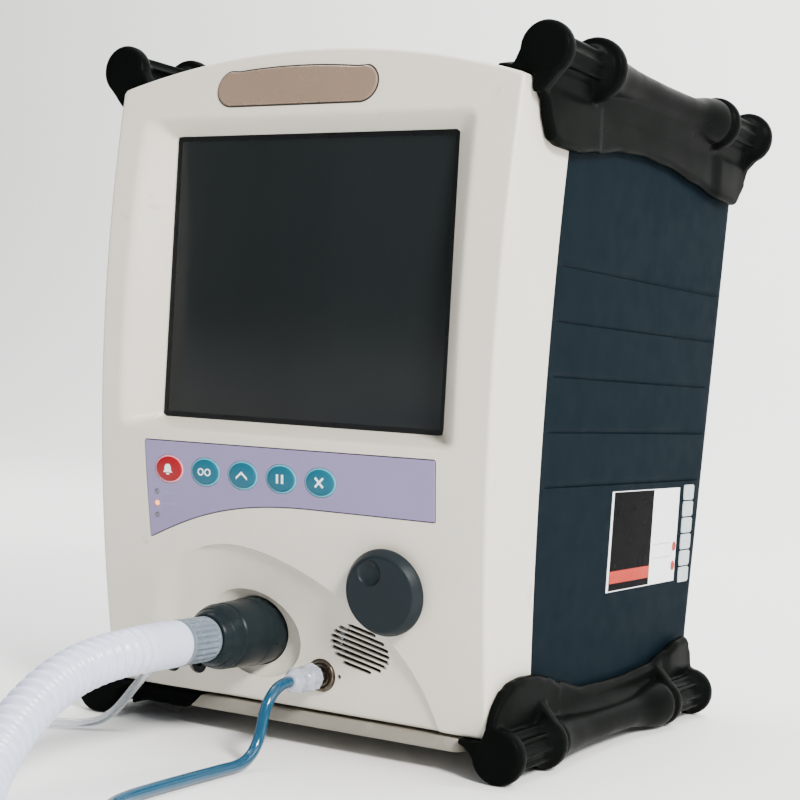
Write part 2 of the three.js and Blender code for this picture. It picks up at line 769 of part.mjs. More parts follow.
const HOSE_COIL = { x: -50.3, y: -438, inner: 74.4, outer: 142.5, high: 20.6 };
const HOSE_TURN_END = THREE.MathUtils.degToRad(74);
const HOSE_END = { radius: 85.9, long: 24, inward: THREE.MathUtils.degToRad(5) };
const HOSE_ROUTE = [
  [-20.5, -168.4, 48.8],
  [-20.5, -180, 48.8],
  [-20.3, -200, 48.5],
  [-19.6, -220, 47.1],
  [-18.4, -238, 43.9],
  [-16.6, -254, 38.5],
  [-13.6, -269.8, 31.3],
  [-8.1, -287.5, 21.8],
  [0.3, -303.7, 13.6],
  [11.6, -317.9, 10.6],
  [25.5, -329.7, 10.2],
];

const LINE_COIL = { x: 86, y: -310, inner: 19.4, outer: 40.6, high: 10.3 };
const LINE_ROUTE = [
  [17, -135.5, 33.5],
  [17, -140, 33.3],
  [16.9, -145, 31.6],
  [16.8, -149.5, 28],
  [16.6, -152.4, 23],
  [16.5, -153.9, 17.5],
  [16.4, -155.5, 12],
  [16.3, -159, 7],
  [16.2, -164, 3.9],
  [16, -170, 2.7],
  [15.8, -182, 2.6],
  [15.6, -205, 2.6],
  [15.8, -228, 2.6],
  [16.8, -243, 2.6],
  [20.5, -256, 2.6],
  [29, -266.5, 2.6],
  [42, -271.2, 2.6],
  [60, -272, 2.6],
  [86, -272, 2.6],
];
const LINE_TAIL = [
  [124, -310, 7.7],
  [124, -320, 7.5],
  [123.6, -330, 6.6],
  [122.6, -340, 5.4],
  [121.4, -348, 4.7],
];

const SENSE_COIL = { x: -158, y: -200, inner: 13.6, outer: 34.4, high: 8.3 };
const SENSE_ROUTE = [
  [-65, -113, 29.5],
  [-65.2, -118, 29.3],
  [-66, -123.5, 27.6],
  [-67.6, -128.5, 24],
  [-70, -132.5, 18.8],
  [-72.8, -135.8, 13],
  [-76, -139, 7.8],
  [-80, -143, 4],
  [-85.5, -147.6, 2.3],
  [-93, -153, 2.1],
  [-103, -158.5, 2.1],
  [-115, -163, 2.1],
  [-130, -166.2, 2.1],
  [-144, -167.5, 2.1],
  [-158, -167.7, 2.1],
];
const SENSE_TAIL = [
  [-190.3, -200, 6.2],
  [-190.3, -209, 6],
  [-190.9, -217, 5.3],
  [-192.2, -225, 4.7],
];

// Ribbed cuff that grips the outlet nose.
function machineCuff() {
  const start = -REACH - GAP;
  const end = -168;
  return pipe([[8.2, start], [9.9, start], [9.9, end], [8.2, end]], 20);
}

function patientCuff() {
  return pipe([[8.3, 0], [10, 0], [10, HOSE_END.long], [8.3, HOSE_END.long]], 16);
}

// The patient cuff follows the hose's last turn and lies within the coil.
function placePatientCuff(mesh) {
  const angle = HOSE_TURN_END;
  const x = HOSE_COIL.x + HOSE_END.radius * Math.cos(angle);
  const y = HOSE_COIL.y + HOSE_END.radius * Math.sin(angle);
  mesh.position.set(x, y, 10.2);
  mesh.rotation.z = angle + Math.PI - HOSE_END.inward;
}

// The hose coil leaves room for that cuff.
function hoseCoil() {
  const room = new THREE.Mesh(new THREE.BoxGeometry(21.2, HOSE_END.long + 0.8, 60));
  room.geometry.translate(0, HOSE_END.long / 2, 0);
  placePatientCuff(room);
  room.updateMatrix();
  return coilRing(HOSE_COIL).subtract(solid(room.geometry.applyMatrix4(room.matrix)));
}

function lineFitting() {
  const start = frontY(GAS.z) - 2 - GAP;
  const profile = [
    [1.2, start],
    [4.6, start],
    [5.8, start - 2],
    [5.8, start - 8],
    [3.8, start - 9.5],
    [3.8, start - 11],
    [5.4, start - 12],
    [5.4, start - 16],
    [3.4, -135.2],
    [1.2, -135.2],
  ];
  return pipe(profile, 14);
}

function lineEnd() {
  const barrel = [[1.2, 0], [3.2, 0], [3.2, 9], [4.6, 10], [4.6, 17]];
  return pipe([...barrel, [2.4, 18], [2.2, 24], [1.2, 24]], 10);
}

// ---------------------------------------------------------------- assembly

const machine = new THREE.Group();
machine.name = "mechanical_ventilator";

function paint(color, roughness, metalness = 0) {
  return new THREE.MeshStandardMaterial({ color, roughness, metalness });
}

function add(name, manifold, material, place = [0, 0, 0], group = machine) {
  const mesh = new THREE.Mesh(geometryOf(manifold), material);
  mesh.name = name;
  mesh.position.set(...place);
  group.add(mesh);
  return mesh;
}

const OFF_WHITE = 0xe1dcd2;
const SLATE = 0x3c484b;
const NAVY = 0x202e3a;
const RUBBER = 0x232624;
const STEEL = 0xaeb2b5;
const BOARD = 0x1f5a3c;

function addShells() {
  add("front_bezel", frontBezel(), paint(OFF_WHITE, 0.5));
  add("rear_enclosure", rearEnclosure(), paint(NAVY, 0.55));
  add("back_panel", backPanel(), paint(0x4a5358, 0.5, 0.6));
  add("base_tray", baseTray(), paint(0xcfc9bd, 0.5));
  for (const [name, side, top] of [
    ["bumper_top_left", -1, true],
    ["bumper_top_right", 1, true],
    ["bumper_bottom_left", -1, false],
    ["bumper_bottom_right", 1, false],
  ]) {
    add(name, bumper(side, top), paint(RUBBER, 0.7));
  }
  add("nameplate", nameplate(), paint(0xc8b4a8, 0.4));
  add("service_label", wallPlate(5, 92, 70.5, 119, 0.5), paint(0x18191b, 0.4));
  add("rating_label", wallPlate(97, 113, 68.5, 120.5, 0.5), paint(0x9aa3a8, 0.4));
}

function addDisplay() {
  const half = GLASS.wide / 2;
  const tall = GLASS.high / 2;
  const glassBack = GLASS_Y + GLASS.thick;
  const left = WINDOW.x - half;
  const right = WINDOW.x + half;
  const low = WINDOW.z - tall;
  const high = WINDOW.z + tall;
  add("touch_panel", box(left, right, GLASS_Y, glassBack, low, high), paint(0x1e2326, 0.08));
  const module = box(left + 4, right - 4, glassBack + GAP, glassBack + 8, low + 6, high - 6);
  add("lcd_module", module, paint(0x5d6468, 0.4, 0.5));
}

function addKeypad() {
  add("keypad_overlay", keypadOverlay(), paint(0xa59bb9, 0.45));
  const names = ["alarm_silence_key", "oxygen_key", "manual_breath_key", "hold_key", "clear_key"];
  names.forEach((name, index) => {
    const color = index === 0 ? 0xbe142d : 0x148ca5;
    add(name, keyCap(index), paint(color, 0.4));
  });
  ["mains_lamp", "external_supply_lamp", "battery_lamp"].forEach((name, index) => {
    add(name, lamp(index), paint(index === 1 ? 0xff8a20 : 0x6f7378, 0.3));
  });
  const back = frontY(KEY.z) + KEY.deep + 1.6;
  const board = box(-76, 36, back, back + 1.6, 92, 130);
  add("keypad_board", board, paint(BOARD, 0.6));
}

function addKnob() {
  const place = [KNOB.x, frontY(KNOB.z), KNOB.z];
  const { body, sleeve, shaft } = encoderPieces();
  const group = new THREE.Group();
  group.position.set(...place);
  group.rotation.x = frontLean(KNOB.z);
  machine.add(group);
  add("control_knob", controlKnob(), paint(SLATE, 0.45), [0, 0, 0], group);
  add("encoder_shaft", shaft, paint(STEEL, 0.3, 0.9), [0, 0, 0], group);
  add("encoder_sleeve", sleeve, paint(0x8b6f3a, 0.4, 0.8), [0, 0, 0], group);
  add("encoder_body", body, paint(0x2a2d2f, 0.5), [0, 0, 0], group);
}

function addSpeaker() {
  const place = [SPEAKER.x, frontY(SPEAKER.z), SPEAKER.z];
  add("speaker_frame", speakerFrame(), paint(0x6d7073, 0.4, 0.8), place);
  add("speaker_cone", speakerCone(), paint(0x1c1c1c, 0.9), place);
}

function addOutlets() {
  add("port_adapter", portAdapter(), paint(SLATE, 0.4), [OUTLET.x, 0, OUTLET.z]);
  add("outlet_tube", outletTube(), paint(0x9aa0a2, 0.5), [OUTLET.x, 0, OUTLET.z]);
  add("nebulizer_port", gasPort(), paint(0x8a6a45, 0.35, 0.9), [GAS.x, 0, GAS.z]);
  add("sensor_ports", sensorPorts(), paint(0x3b4043, 0.4));
}

function addInside() {
  add("chassis", chassis(), paint(STEEL, 0.4, 0.8));
  const housing = [BLOWER.x, BLOWER.y, BLOWER.z];
  add("blower_housing", blowerHousing(), paint(0x3a3d40, 0.5), housing);
  add("blower_impeller", blowerImpeller(), paint(0xd8d8d4, 0.4), housing);
  add("mixing_valve", box(40, 78, 0, 60, 30, 74), paint(0xb7bbbd, 0.35, 0.8));
  add("battery_pack", box(-85, -5, -40, 50, SHELF_Z + GAP, SHELF_Z + 42), paint(0x2b2e33, 0.6));
  add("power_supply", box(8, 86, -40, 88, SHELF_Z + GAP, SHELF_Z + 46), paint(STEEL, 0.4, 0.7));
  add("main_board", box(-88, 88, -88, -86.2, 122, 276), paint(BOARD, 0.6));
}

function addRear() {
  const fan = [FAN.x, REAR_Y - 2.4 - GAP, FAN.z];
  add("fan_frame", fanFrame(), paint(0x1b1b1d, 0.6), fan);
  add("fan_rotor", fanRotor(), paint(0x26282b, 0.6), fan);
  add("filter_cover", filterCover(), paint(0x2a3036, 0.6));
  const { x, z, wide, high } = FILTER;
  const foam = rounded(wide - 15, high - 15, 3, x, z);
  add("filter_foam", prismY(foam, REAR_Y - 12, REAR_Y - 0.6), paint(0x3b3b3b, 1));
  add("mains_inlet", mainsInlet(), paint(0x17181a, 0.5));
  add("power_switch_frame", rockerFrame(), paint(0x17181a, 0.5));
  const pivot = [ROCKER.x, REAR_Y - 0.5, ROCKER.z];
  add("power_rocker", rockerPaddle(), paint(0x202224, 0.4), pivot).rotation.x = ROCKER.tilt;
  add("oxygen_inlet", oxygenInlet(), paint(STEEL, 0.25, 1), [OXYGEN.x, 0, OXYGEN.z]);
  add("data_ports", dataPorts(), paint(0x9da1a4, 0.4, 0.7));
}

function addHose() {
  add("hose_cuff", machineCuff(), paint(0xa9b4be, 0.35), [OUTLET.x, 0, OUTLET.z]);
  const hose = stretch(HOSE_ROUTE, HOSE.radius, 12, 26, HOSE_COIL);
  add("breathing_hose", hose, paint(0xe4ecf8, 0.4));
  add("breathing_hose_coil", hoseCoil(), paint(0xe4ecf8, 0.4));
  placePatientCuff(add("hose_patient_cuff", patientCuff(), paint(0xa9b4be, 0.35)));
}

// A connector on the floor, from a tail's last point onwards.
function placeTip(mesh, tail, gap) {
  const [ax, ay] = tail.at(-2);
  const [bx, by, bz] = tail.at(-1);
  const reach = Math.hypot(bx - ax, by - ay);
  mesh.position.set(bx + ((bx - ax) * gap) / reach, by + ((by - ay) * gap) / reach, bz);
  mesh.rotation.z = Math.atan2(by - ay, bx - ax) - Math.PI / 2;
}

function addLines() {
  const blue = paint(0x3c96c3, 0.3);
  const clear = paint(0xd6dde2, 0.25);
  const tip = paint(0xc9cddb, 0.2);
  add("control_line_fitting", lineFitting(), tip, [GAS.x, 0, GAS.z]);
  add("control_line", stretch(LINE_ROUTE, LINE.radius, 8, 9, LINE_COIL), blue);
  add("control_line_coil", coilWithTail(LINE_COIL, LINE_TAIL, LINE.radius), blue);
  placeTip(add("control_line_end", lineEnd(), tip), LINE_TAIL, 2 * GAP);
  add("sensor_line", stretch(SENSE_ROUTE, SENSE.radius, 8, 8, SENSE_COIL), clear);
  add("sensor_line_coil", coilWithTail(SENSE_COIL, SENSE_TAIL, SENSE.radius), clear);
  placeTip(add("sensor_line_end", lineEnd(), tip), SENSE_TAIL, 2 * GAP);
}

addShells();
addDisplay();
addKeypad();
addKnob();
addSpeaker();
addOutlets();
addInside();
addRear();
addHose();
addLines();

export default machine;
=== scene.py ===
"""Looks for a portable ventilator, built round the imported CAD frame.

Shapes are worked out in millimetres and become metres when a mesh is made.
+Z is up, the front panel faces -Y, and +X is to the right of somebody facing it.
"""

import json
import math

import bmesh
import bpy
import numpy as np
from mathutils import Matrix, Vector
from mathutils.geometry import delaunay_2d_cdt

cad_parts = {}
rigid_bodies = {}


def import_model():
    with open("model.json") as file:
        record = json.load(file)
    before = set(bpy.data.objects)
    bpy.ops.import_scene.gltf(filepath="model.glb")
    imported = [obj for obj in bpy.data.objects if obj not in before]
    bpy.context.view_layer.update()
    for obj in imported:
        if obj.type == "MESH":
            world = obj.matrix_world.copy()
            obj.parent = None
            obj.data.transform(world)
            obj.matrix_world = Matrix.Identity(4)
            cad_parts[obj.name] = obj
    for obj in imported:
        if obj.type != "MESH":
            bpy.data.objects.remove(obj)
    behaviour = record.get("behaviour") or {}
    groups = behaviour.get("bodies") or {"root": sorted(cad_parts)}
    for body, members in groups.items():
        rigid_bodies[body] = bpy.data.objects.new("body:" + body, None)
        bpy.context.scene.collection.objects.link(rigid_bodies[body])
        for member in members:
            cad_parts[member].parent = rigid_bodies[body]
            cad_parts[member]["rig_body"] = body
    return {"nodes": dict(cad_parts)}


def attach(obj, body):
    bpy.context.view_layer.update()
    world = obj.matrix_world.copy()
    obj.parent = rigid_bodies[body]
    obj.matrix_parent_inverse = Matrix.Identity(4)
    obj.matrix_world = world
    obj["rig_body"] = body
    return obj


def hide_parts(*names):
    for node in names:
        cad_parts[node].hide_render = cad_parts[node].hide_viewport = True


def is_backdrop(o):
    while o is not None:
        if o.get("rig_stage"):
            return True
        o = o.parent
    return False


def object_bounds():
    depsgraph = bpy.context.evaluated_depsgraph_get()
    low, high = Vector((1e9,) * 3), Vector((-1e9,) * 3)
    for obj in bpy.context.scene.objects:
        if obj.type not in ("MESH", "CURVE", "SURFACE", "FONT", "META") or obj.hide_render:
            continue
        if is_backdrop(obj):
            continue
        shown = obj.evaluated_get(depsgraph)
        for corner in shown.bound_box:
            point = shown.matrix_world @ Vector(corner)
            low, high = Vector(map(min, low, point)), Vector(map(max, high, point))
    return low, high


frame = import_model()
CAD_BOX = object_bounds()
NODES = frame["nodes"]

# ---------------- driving dimensions, in mm

MM = 0.001
MERGE = 2e-6  # vertices this close, in metres, become one
WALL = 4.0
SILL_Z, SHOULDER_Z, ARCH_RISE = 17.0, 296.0, 15.5
SILL_HALF, SHOULDER_HALF = 101.0, 106.0
CHIN_Y, BROW_Y, BOW = -110.0, -119.5, 13.0
SEAM_Y, SEAM_BOW = -70.0, 8.0
CASE_INSET = 0.8
REAR_Y = 119.0
RIM_LOW, RIM_SLOPE = 44.0, 0.083  # the rear rim leans back above this height
REACH = 147.0
OUTLET_X, OUTLET_Z = -20.5, 48.8
GAS_X, GAS_Z = 17.0, 33.5
KNOB_X, KNOB_Z, KNOB_RADIUS = 55.4, 76.0, 19.0
KEY_FIRST, KEY_PITCH, KEY_Z = -62.0, 20.7, 119.8
LAMP_X, LAMP_FIRST, LAMP_PITCH = -69.0, 109.0, 5.4
GLASS_Y, LIP_Y = -112.2, -113.2
WINDOW = (-77.5, 73.5, 143.5, 274.5)  # left, right, low, high
TOP_DISCS = (-111.0, -62.0, 88.0, 138.0)
DISC_SIZES = {-62.0: 14.4, 88.0: 13.4, 138.0: 13.4}  # radii that differ from SPOOL_RADIUS
LOW_DISCS = (-111.0, -70.0, 66.0, 109.0)
TOE_ROOT, TOE_END, TOE_LONG = 90.0, 49.0, 30.0
SENSOR_HOLES = ((-65.0, 29.5), (-50.5, 30.5))
PIN_HOLE = (26.4, 34.0)
FAN_X, FAN_Z = 52.0, 210.0
OXYGEN_X, OXYGEN_Z = -55.0, 78.0


def height_share(z):
    return (z - SILL_Z) / (SHOULDER_Z - SILL_Z)


def bulge(z):
    return 1 - (2 * height_share(z) - 1) ** 2


def front_y(z):
    return CHIN_Y + (BROW_Y - CHIN_Y) * height_share(z) - BOW * bulge(z)


def seam_y(z):
    return SEAM_Y - SEAM_BOW * bulge(z)


def front_lean(z):
    return -math.atan((front_y(z + 1) - front_y(z - 1)) / 2)


def half_width(z):
    return SILL_HALF + (SHOULDER_HALF - SILL_HALF) * height_share(z)


# ---------------- small maths


def step(value, low=0.0, high=1.0):
    """Smooth change from 0 at low to 1 at high."""
    t = np.clip((value - low) / (high - low), 0, 1)
    return t * t * (3 - 2 * t)


def mix(a, b, share):
    return a + (b - a) * share


def curve_through(knots, at):
    """Smooth interpolation between (position, value) knots."""
    places = [k[0] for k in knots]
    values = [k[1] for k in knots]
    i = int(np.clip(np.searchsorted(places, at) - 1, 0, len(knots) - 2))
    share = float(step(at, places[i], places[i + 1]))
    return mix(values[i], values[i + 1], share)


def resampled(points, spacing, closed=False):
    """The points of a polyline at even distances along it."""
    line = np.array(points, float)
    if closed:
        line = np.vstack([line, line[:1]])
    along = np.concatenate([[0], np.cumsum(np.linalg.norm(np.diff(line, axis=0), axis=1))])
    count = max(2, round(along[-1] / spacing))
    wanted = np.linspace(0, along[-1], count + 1)
    if closed:
        wanted = wanted[:-1]
    return np.stack([np.interp(wanted, along, line[:, k]) for k in range(line.shape[1])], axis=1)


def bezier(a, b, c, d, count=40):
    t = np.linspace(0, 1, count)[:, None]
    a, b, c, d = (np.array(p, float) for p in (a, b, c, d))
    return (1 - t) ** 3 * a + 3 * t * (1 - t) ** 2 * b + 3 * t * t * (1 - t) * c + t**3 * d


def smooth_path(points, spacing):
    """A centripetal Catmull-Rom curve through the points, at even distances."""
    given = [np.array(p, float) for p in points]
    whole = [2 * given[0] - given[1], *given, 2 * given[-1] - given[-2]]
    fine = []
    for p0, p1, p2, p3 in zip(whole, whole[1:], whole[2:], whole[3:]):
        d0, d1, d2 = (np.linalg.norm(b - a) ** 0.5 for a, b in ((p0, p1), (p1, p2), (p2, p3)))
        t1 = ((p1 - p0) / d0 - (p2 - p0) / (d0 + d1) + (p2 - p1) / d1) * d1
        t2 = ((p2 - p1) / d1 - (p3 - p1) / (d1 + d2) + (p3 - p2) / d2) * d1
        for t in np.arange(0, 1, 0.05):
            start = (2 * t**3 - 3 * t**2 + 1) * p1 + (t**3 - 2 * t**2 + t) * t1
            fine.append(start + (3 * t**2 - 2 * t**3) * p2 + (t**3 - t**2) * t2)
    fine.append(given[-1])
    return resampled(fine, spacing)


def distances(points, outline):
    """Distance from each point to a closed outline."""
    a = np.array(outline, float)
    b = np.roll(a, -1, axis=0)
    best = np.full(len(points), np.inf)
    for p, q in zip(a, b):
        run = q - p
        t = np.clip(((points - p) @ run) / max(run @ run, 1e-12), 0, 1)
        best = np.minimum(best, np.linalg.norm(points - p - t[:, None] * run, axis=1))
    return best


def inside(points, outline):
    """Which points lie inside a closed outline."""
    a = np.array(outline, float)
    b = np.roll(a, -1, axis=0)
    odd = np.zeros(len(points), bool)
    for (x0, z0), (x1, z1) in zip(a, b):
        if z0 == z1:
            continue
        across = (points[:, 1] < z0) != (points[:, 1] < z1)
        at = x0 + (points[:, 1] - z0) * (x1 - x0) / (z1 - z0)
        odd ^= across & (points[:, 0] < at)
    return odd


def signed(points, outline):
    """Distance to an outline, positive inside."""
    return np.where(inside(points, outline), 1, -1) * distances(points, outline)


def offset(outline, inward, closed=True):
    """An outline moved to its left, which is inwards if it is closed and anticlockwise."""
    line = np.array(outline, float)
    run = np.gradient(line, axis=0)
    if closed:
        run = np.roll(line, -1, axis=0) - np.roll(line, 1, axis=0)
    run /= np.linalg.norm(run, axis=1)[:, None]
    return line + inward * np.stack([-run[:, 1], run[:, 0]], axis=1)


def round_rect(left, right, low, high, radius, spacing=2.0):
    corners = []
    places = ((right, high, 0), (left, high, 90), (left, low, 180), (right, low, 270))
    for x, z, start in places:
        cx = x - radius if x == right else x + radius
        cz = z - radius if z == high else z + radius
        for angle in np.radians(np.linspace(start, start + 90, 7)):
            corners.append((cx + radius * math.cos(angle), cz + radius * math.sin(angle)))
    return resampled(corners, spacing, closed=True)


def circle(x, z, radius, count=48):
    angles = np.linspace(0, 2 * math.pi, count, endpoint=False)
    return np.stack([x + radius * np.cos(angles), z + radius * np.sin(angles)], axis=1)


def ellipse(x, z, wide, high, count=72):
    return (circle(0, 0, 1, count) * (wide, high)) + (x, z)


def standing(flat, y):
    """Points of an outline in X and Z, stood up at a depth."""
    return np.stack([flat[:, 0], np.broadcast_to(y, len(flat)), flat[:, 1]], axis=1)


# ---------------- meshes


def linked(name, data):
    obj = bpy.data.objects.new(name, data)
    bpy.context.scene.collection.objects.link(obj)
    return obj


def reworked(mesh, *changes):
    """Runs each change on the mesh as a bmesh."""
    work = bmesh.new()
    work.from_mesh(mesh)
    for change in changes:
        change(work)
    work.to_mesh(mesh)
    work.free()


def face_out(work):
    bmesh.ops.recalc_face_normals(work, faces=work.faces)


def merge(work):
    bmesh.ops.remove_doubles(work, verts=work.verts, dist=MERGE)


def made(name, verts, faces, material, crease=35.0, body="machine", shows=(), slot=None):
    """A piece from millimetre vertices, riding on a body and standing for CAD nodes."""
    mesh = bpy.data.meshes.new(name)
    mesh.from_pydata([tuple(float(c) * MM for c in v) for v in verts], [], faces)
    return finished(name, mesh, material, crease, body, shows, slot)


def coated(mesh, material, crease):
    """One material, and smooth shading up to the crease angle."""
    mesh.materials.clear()
    mesh.materials.append(material)
    mesh.polygons.foreach_set("use_smooth", [True] * len(mesh.polygons))
    mesh.set_sharp_from_angle(angle=math.radians(crease))


def finished(name, mesh, material, crease=35.0, body="machine", shows=(), slot=None):
    """An object from a mesh, with the body it rides on and the nodes it shows. The slot is not
    used.
    """
    reworked(mesh, merge, face_out)
    coated(mesh, material, crease)
    obj = linked(name, mesh)
    if body:
        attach(obj, body)
    if shows:
        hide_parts(*([shows] if isinstance(shows, str) else shows))
    return obj


def loft(rings, capped=True, looped=False):
    """Vertices and faces that join rings of the same number of points."""
    rings = [np.array(r, float) for r in rings]
    count = len(rings[0])
    verts = np.vstack(rings)
    faces = []
    last = len(rings) if looped else len(rings) - 1
    for i in range(last):
        a, b = i * count, ((i + 1) % len(rings)) * count
        for j in range(count):
            k = (j + 1) % count
            faces.append((a + j, a + k, b + k, b + j))
    if capped and not looped:
        faces.append(tuple(range(count))[::-1])
        faces.append(tuple(range(len(verts) - count, len(verts))))
    return verts, faces


def prism(points, y0, y1):
    """An outline in X and Z drawn out along Y."""
    return loft([[(x, y, z) for x, z in points] for y in (y0, y1)])


def joined(*parts):
    """Several (vertices, faces) pairs as one."""
    verts, faces, start = [], [], 0
    for v, f in parts:
        verts.append(np.array(v, float))
        faces += [tuple(i + start for i in face) for face in f]
        start += len(v)
    return np.vstack(verts), faces


def turned(profile, sides=48, ripple=None, closed=False):
    """A lathe about the Y axis from [radius, y] pairs. ripple(angle, y) adds to the radius."""
    angles = np.linspace(0, 2 * math.pi, sides, endpoint=False)
    rings = []
    for radius, y in profile:
        reach = np.array([max(radius + (ripple(a, y) if ripple else 0), 0.01) for a in angles])
        rings.append(standing(reach[:, None] * circle(0, 0, 1, sides), y))
    return loft(rings, capped=not closed, looped=closed)


def eased(profile, radius, segments=4, closed=False, least=0.0):
    """The profile with its corners rounded, but for turns of less than least radians."""
    points = [np.array(p, float) for p in profile]
    out = []
    for i, p in enumerate(points):
        if not closed and i in (0, len(points) - 1):
            out.append(p)
            continue
        a, b = points[i - 1] - p, points[(i + 1) % len(points)] - p
        la, lb = np.linalg.norm(a), np.linalg.norm(b)
        if math.acos(float(np.clip(-(a @ b) / (la * lb), -1, 1))) < least:
            out.append(p)
            continue
        reach = min(radius, 0.45 * la, 0.45 * lb)
        start, end = p + a / la * reach, p + b / lb * reach
        for t in np.linspace(0, 1, segments + 1):
            out.append((1 - t) ** 2 * start + 2 * t * (1 - t) * p + t * t * end)
    return out


def lathe(profile, rounding, segments, sides, ripple=None):
    """A closed profile, eased and turned."""
    return turned(eased(profile, rounding, segments, closed=True), sides, ripple, closed=True)


def placed(part, at=(0, 0, 0), tilt=0.0, spin=0.0):
    """A part tilted about X, turned about Z, and moved."""
    verts, faces = part
    turn = Matrix.Rotation(spin, 3, "Z") @ Matrix.Rotation(tilt, 3, "X")
    return np.array(verts) @ np.array(turn).T + np.array(at), faces


def swept(path, radii, sides):
    """A tube whose rings stand across the path."""
    path = np.array(path, float)
    heading = np.gradient(path, axis=0)
    heading /= np.linalg.norm(heading, axis=1)[:, None]
    around = circle(0, 0, 1, sides)
    side = np.cross(heading[0], (0, 0, 1.0))
    rings = []
    for point, ahead, radius in zip(path, heading, radii):
        side = side - ahead * (side @ ahead)
        side /= np.linalg.norm(side)
        over = np.cross(side, ahead)
        rings.append(point + radius * (around[:, :1] * side + around[:, 1:] * over))
    return loft(rings)


def applied(obj):
    """The object's mesh with its modifiers applied, and no modifiers left."""
    mesh = bpy.data.meshes.new_from_object(obj.evaluated_get(bpy.context.evaluated_depsgraph_get()))
    obj.modifiers.clear()
    obj.data = mesh
    return mesh


def softened(node, material, width=0.5, segments=2):
    """A copy of a CAD node with its edges rounded over, standing for the node."""

    def flatten(work):
        flat_within = math.radians(1.5)
        bmesh.ops.dissolve_limit(work, angle_limit=flat_within, verts=work.verts, edges=work.edges)

    mesh = NODES[node].data.copy()
    reworked(mesh, merge, flatten)
    helper = linked("helper", mesh)
    bevel = helper.modifiers.new("bevel", "BEVEL")
    bevel.width = width * MM
    bevel.segments = segments
    bevel.limit_method = "ANGLE"
    bevel.angle_limit = math.radians(32)
    bevel.use_clamp_overlap = True
    smooth = applied(helper)
    bpy.data.objects.remove(helper)
    finished(node + "_finish", smooth, material, 40, NODES[node]["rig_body"], node)


# ---------------- camera

CAMERA_AT = (0.42891, -0.75667, 0.16529)
CAMERA_YAW, CAMERA_PITCH, CAMERA_ROLL = (math.radians(a) for a in (30.41, -0.58, 3.22))
CAMERA_LENS, CAMERA_SENSOR = 77.72, 36.0


def add_camera():
    data = bpy.data.cameras.new("camera")
    data.sensor_width = CAMERA_SENSOR
    data.lens = CAMERA_LENS
    level = math.cos(CAMERA_PITCH)
    across, along = -math.sin(CAMERA_YAW) * level, math.cos(CAMERA_YAW) * level
    ahead = Vector((across, along, math.sin(CAMERA_PITCH)))
    flat = ahead.cross(Vector((0, 0, 1))).normalized()
    rise = flat.cross(ahead)
    right = flat * math.cos(CAMERA_ROLL) + rise * math.sin(CAMERA_ROLL)
    up = rise * math.cos(CAMERA_ROLL) - flat * math.sin(CAMERA_ROLL)
    camera = linked("camera", data)
    camera.matrix_world = Matrix((right, up, -ahead)).transposed().to_4x4()
    camera.location = CAMERA_AT
    bpy.context.scene.camera = camera


# ---------------- materials


def linear(color):
    """A 0xRRGGBB colour as linear RGBA."""
    parts = [(color >> shift & 255) / 255 for shift in (16, 8, 0)]
    return [p / 12.92 if p < 0.04045 else ((p + 0.055) / 1.055) ** 2.4 for p in parts] + [1.0]


class Surface:
    """A Principled material with mottled colour, uneven gloss and a fine bump."""

    def __init__(self, name, color, rough, **fixed):
        self.material = bpy.data.materials.new(name)
        self.material.use_nodes = True
        self.tree = self.material.node_tree
        shader = next(n for n in self.tree.nodes if n.type == "BSDF_PRINCIPLED")
        self.inputs = shader.inputs
        self.place = self.node("TexCoord", "Object")
        self.color = linear(color)
        self.rough = rough
        self.paint = self.color
        self.inputs["Roughness"].default_value = rough
        for key, value in fixed.items():
            self.inputs[key.replace("_", " ")].default_value = value

    def feed(self, socket, value):
        """Gives an input a value, or links another node's output to it."""
        if isinstance(value, bpy.types.NodeSocket):
            self.tree.links.new(value, socket)
        else:
            socket.default_value = value

    def node(self, kind, output, **inputs):
        node = self.tree.nodes.new("ShaderNode" + kind)
        if kind == "Mix":
            node.data_type = "RGBA"
        for key, value in inputs.items():
            self.feed(node.inputs[key.replace("_", " ")], value)
        return node.outputs[output]

    def noise(self, scale, detail, stretch=(1, 1, 1), distortion=0.0):
        at = self.node("Mapping", "Vector", Vector=self.place, Scale=stretch)
        shape = {"Scale": scale, "Detail": detail, "Distortion": distortion}
        return self.node("TexNoise", "Fac", Vector=at, **shape)

    def ranged(self, value, low, high, to_low, to_high):
        limits = {"From_Min": low, "From_Max": high, "To_Min": to_low, "To_Max": to_high}
        return self.node("MapRange", "Result", Value=value, **limits)

    def mottle(self, scale, amount, stretch=(1, 1, 1)):
        """Light and dark drifts of the base colour."""
        share = self.ranged(self.noise(scale, 4, stretch), 0.3, 0.7, 0, 1)
        dark = [c * (1 - amount) for c in self.color[:3]] + [1.0]
        light = [min(1.0, c * (1 + amount)) for c in self.color[:3]] + [1.0]
        self.paint = self.node("Mix", "Result", Factor=share, A=dark, B=light)
        return self

    def marks(self, scale, cover, color, strength):
        """Sparse marks, such as scuffs or dust, where fine noise is highest."""
        noise = self.noise(scale, 2, distortion=0.6)
        share = self.ranged(noise, cover, cover + 0.06, 0, strength)
        self.paint = self.node("Mix", "Result", Factor=share, A=self.paint, B=linear(color))
        return self

    def gloss(self, scale, span):
        """Roughness that drifts by span to either side."""
        low, high = self.rough - span, self.rough + span
        self.feed(self.inputs["Roughness"], self.ranged(self.noise(scale, 3), 0.3, 0.7, low, high))
        return self

    def grain(self, scale, strength, depth=0.00015, stretch=(1, 1, 1)):
        """A fine bump."""
        height = self.noise(scale, 2, stretch)
        bump = self.node("Bump", "Normal", Strength=strength, Distance=depth, Height=height)
        self.feed(self.inputs["Normal"], bump)
        return self

    def done(self):
        self.feed(self.inputs["Base Color"], self.paint)
        return self.material


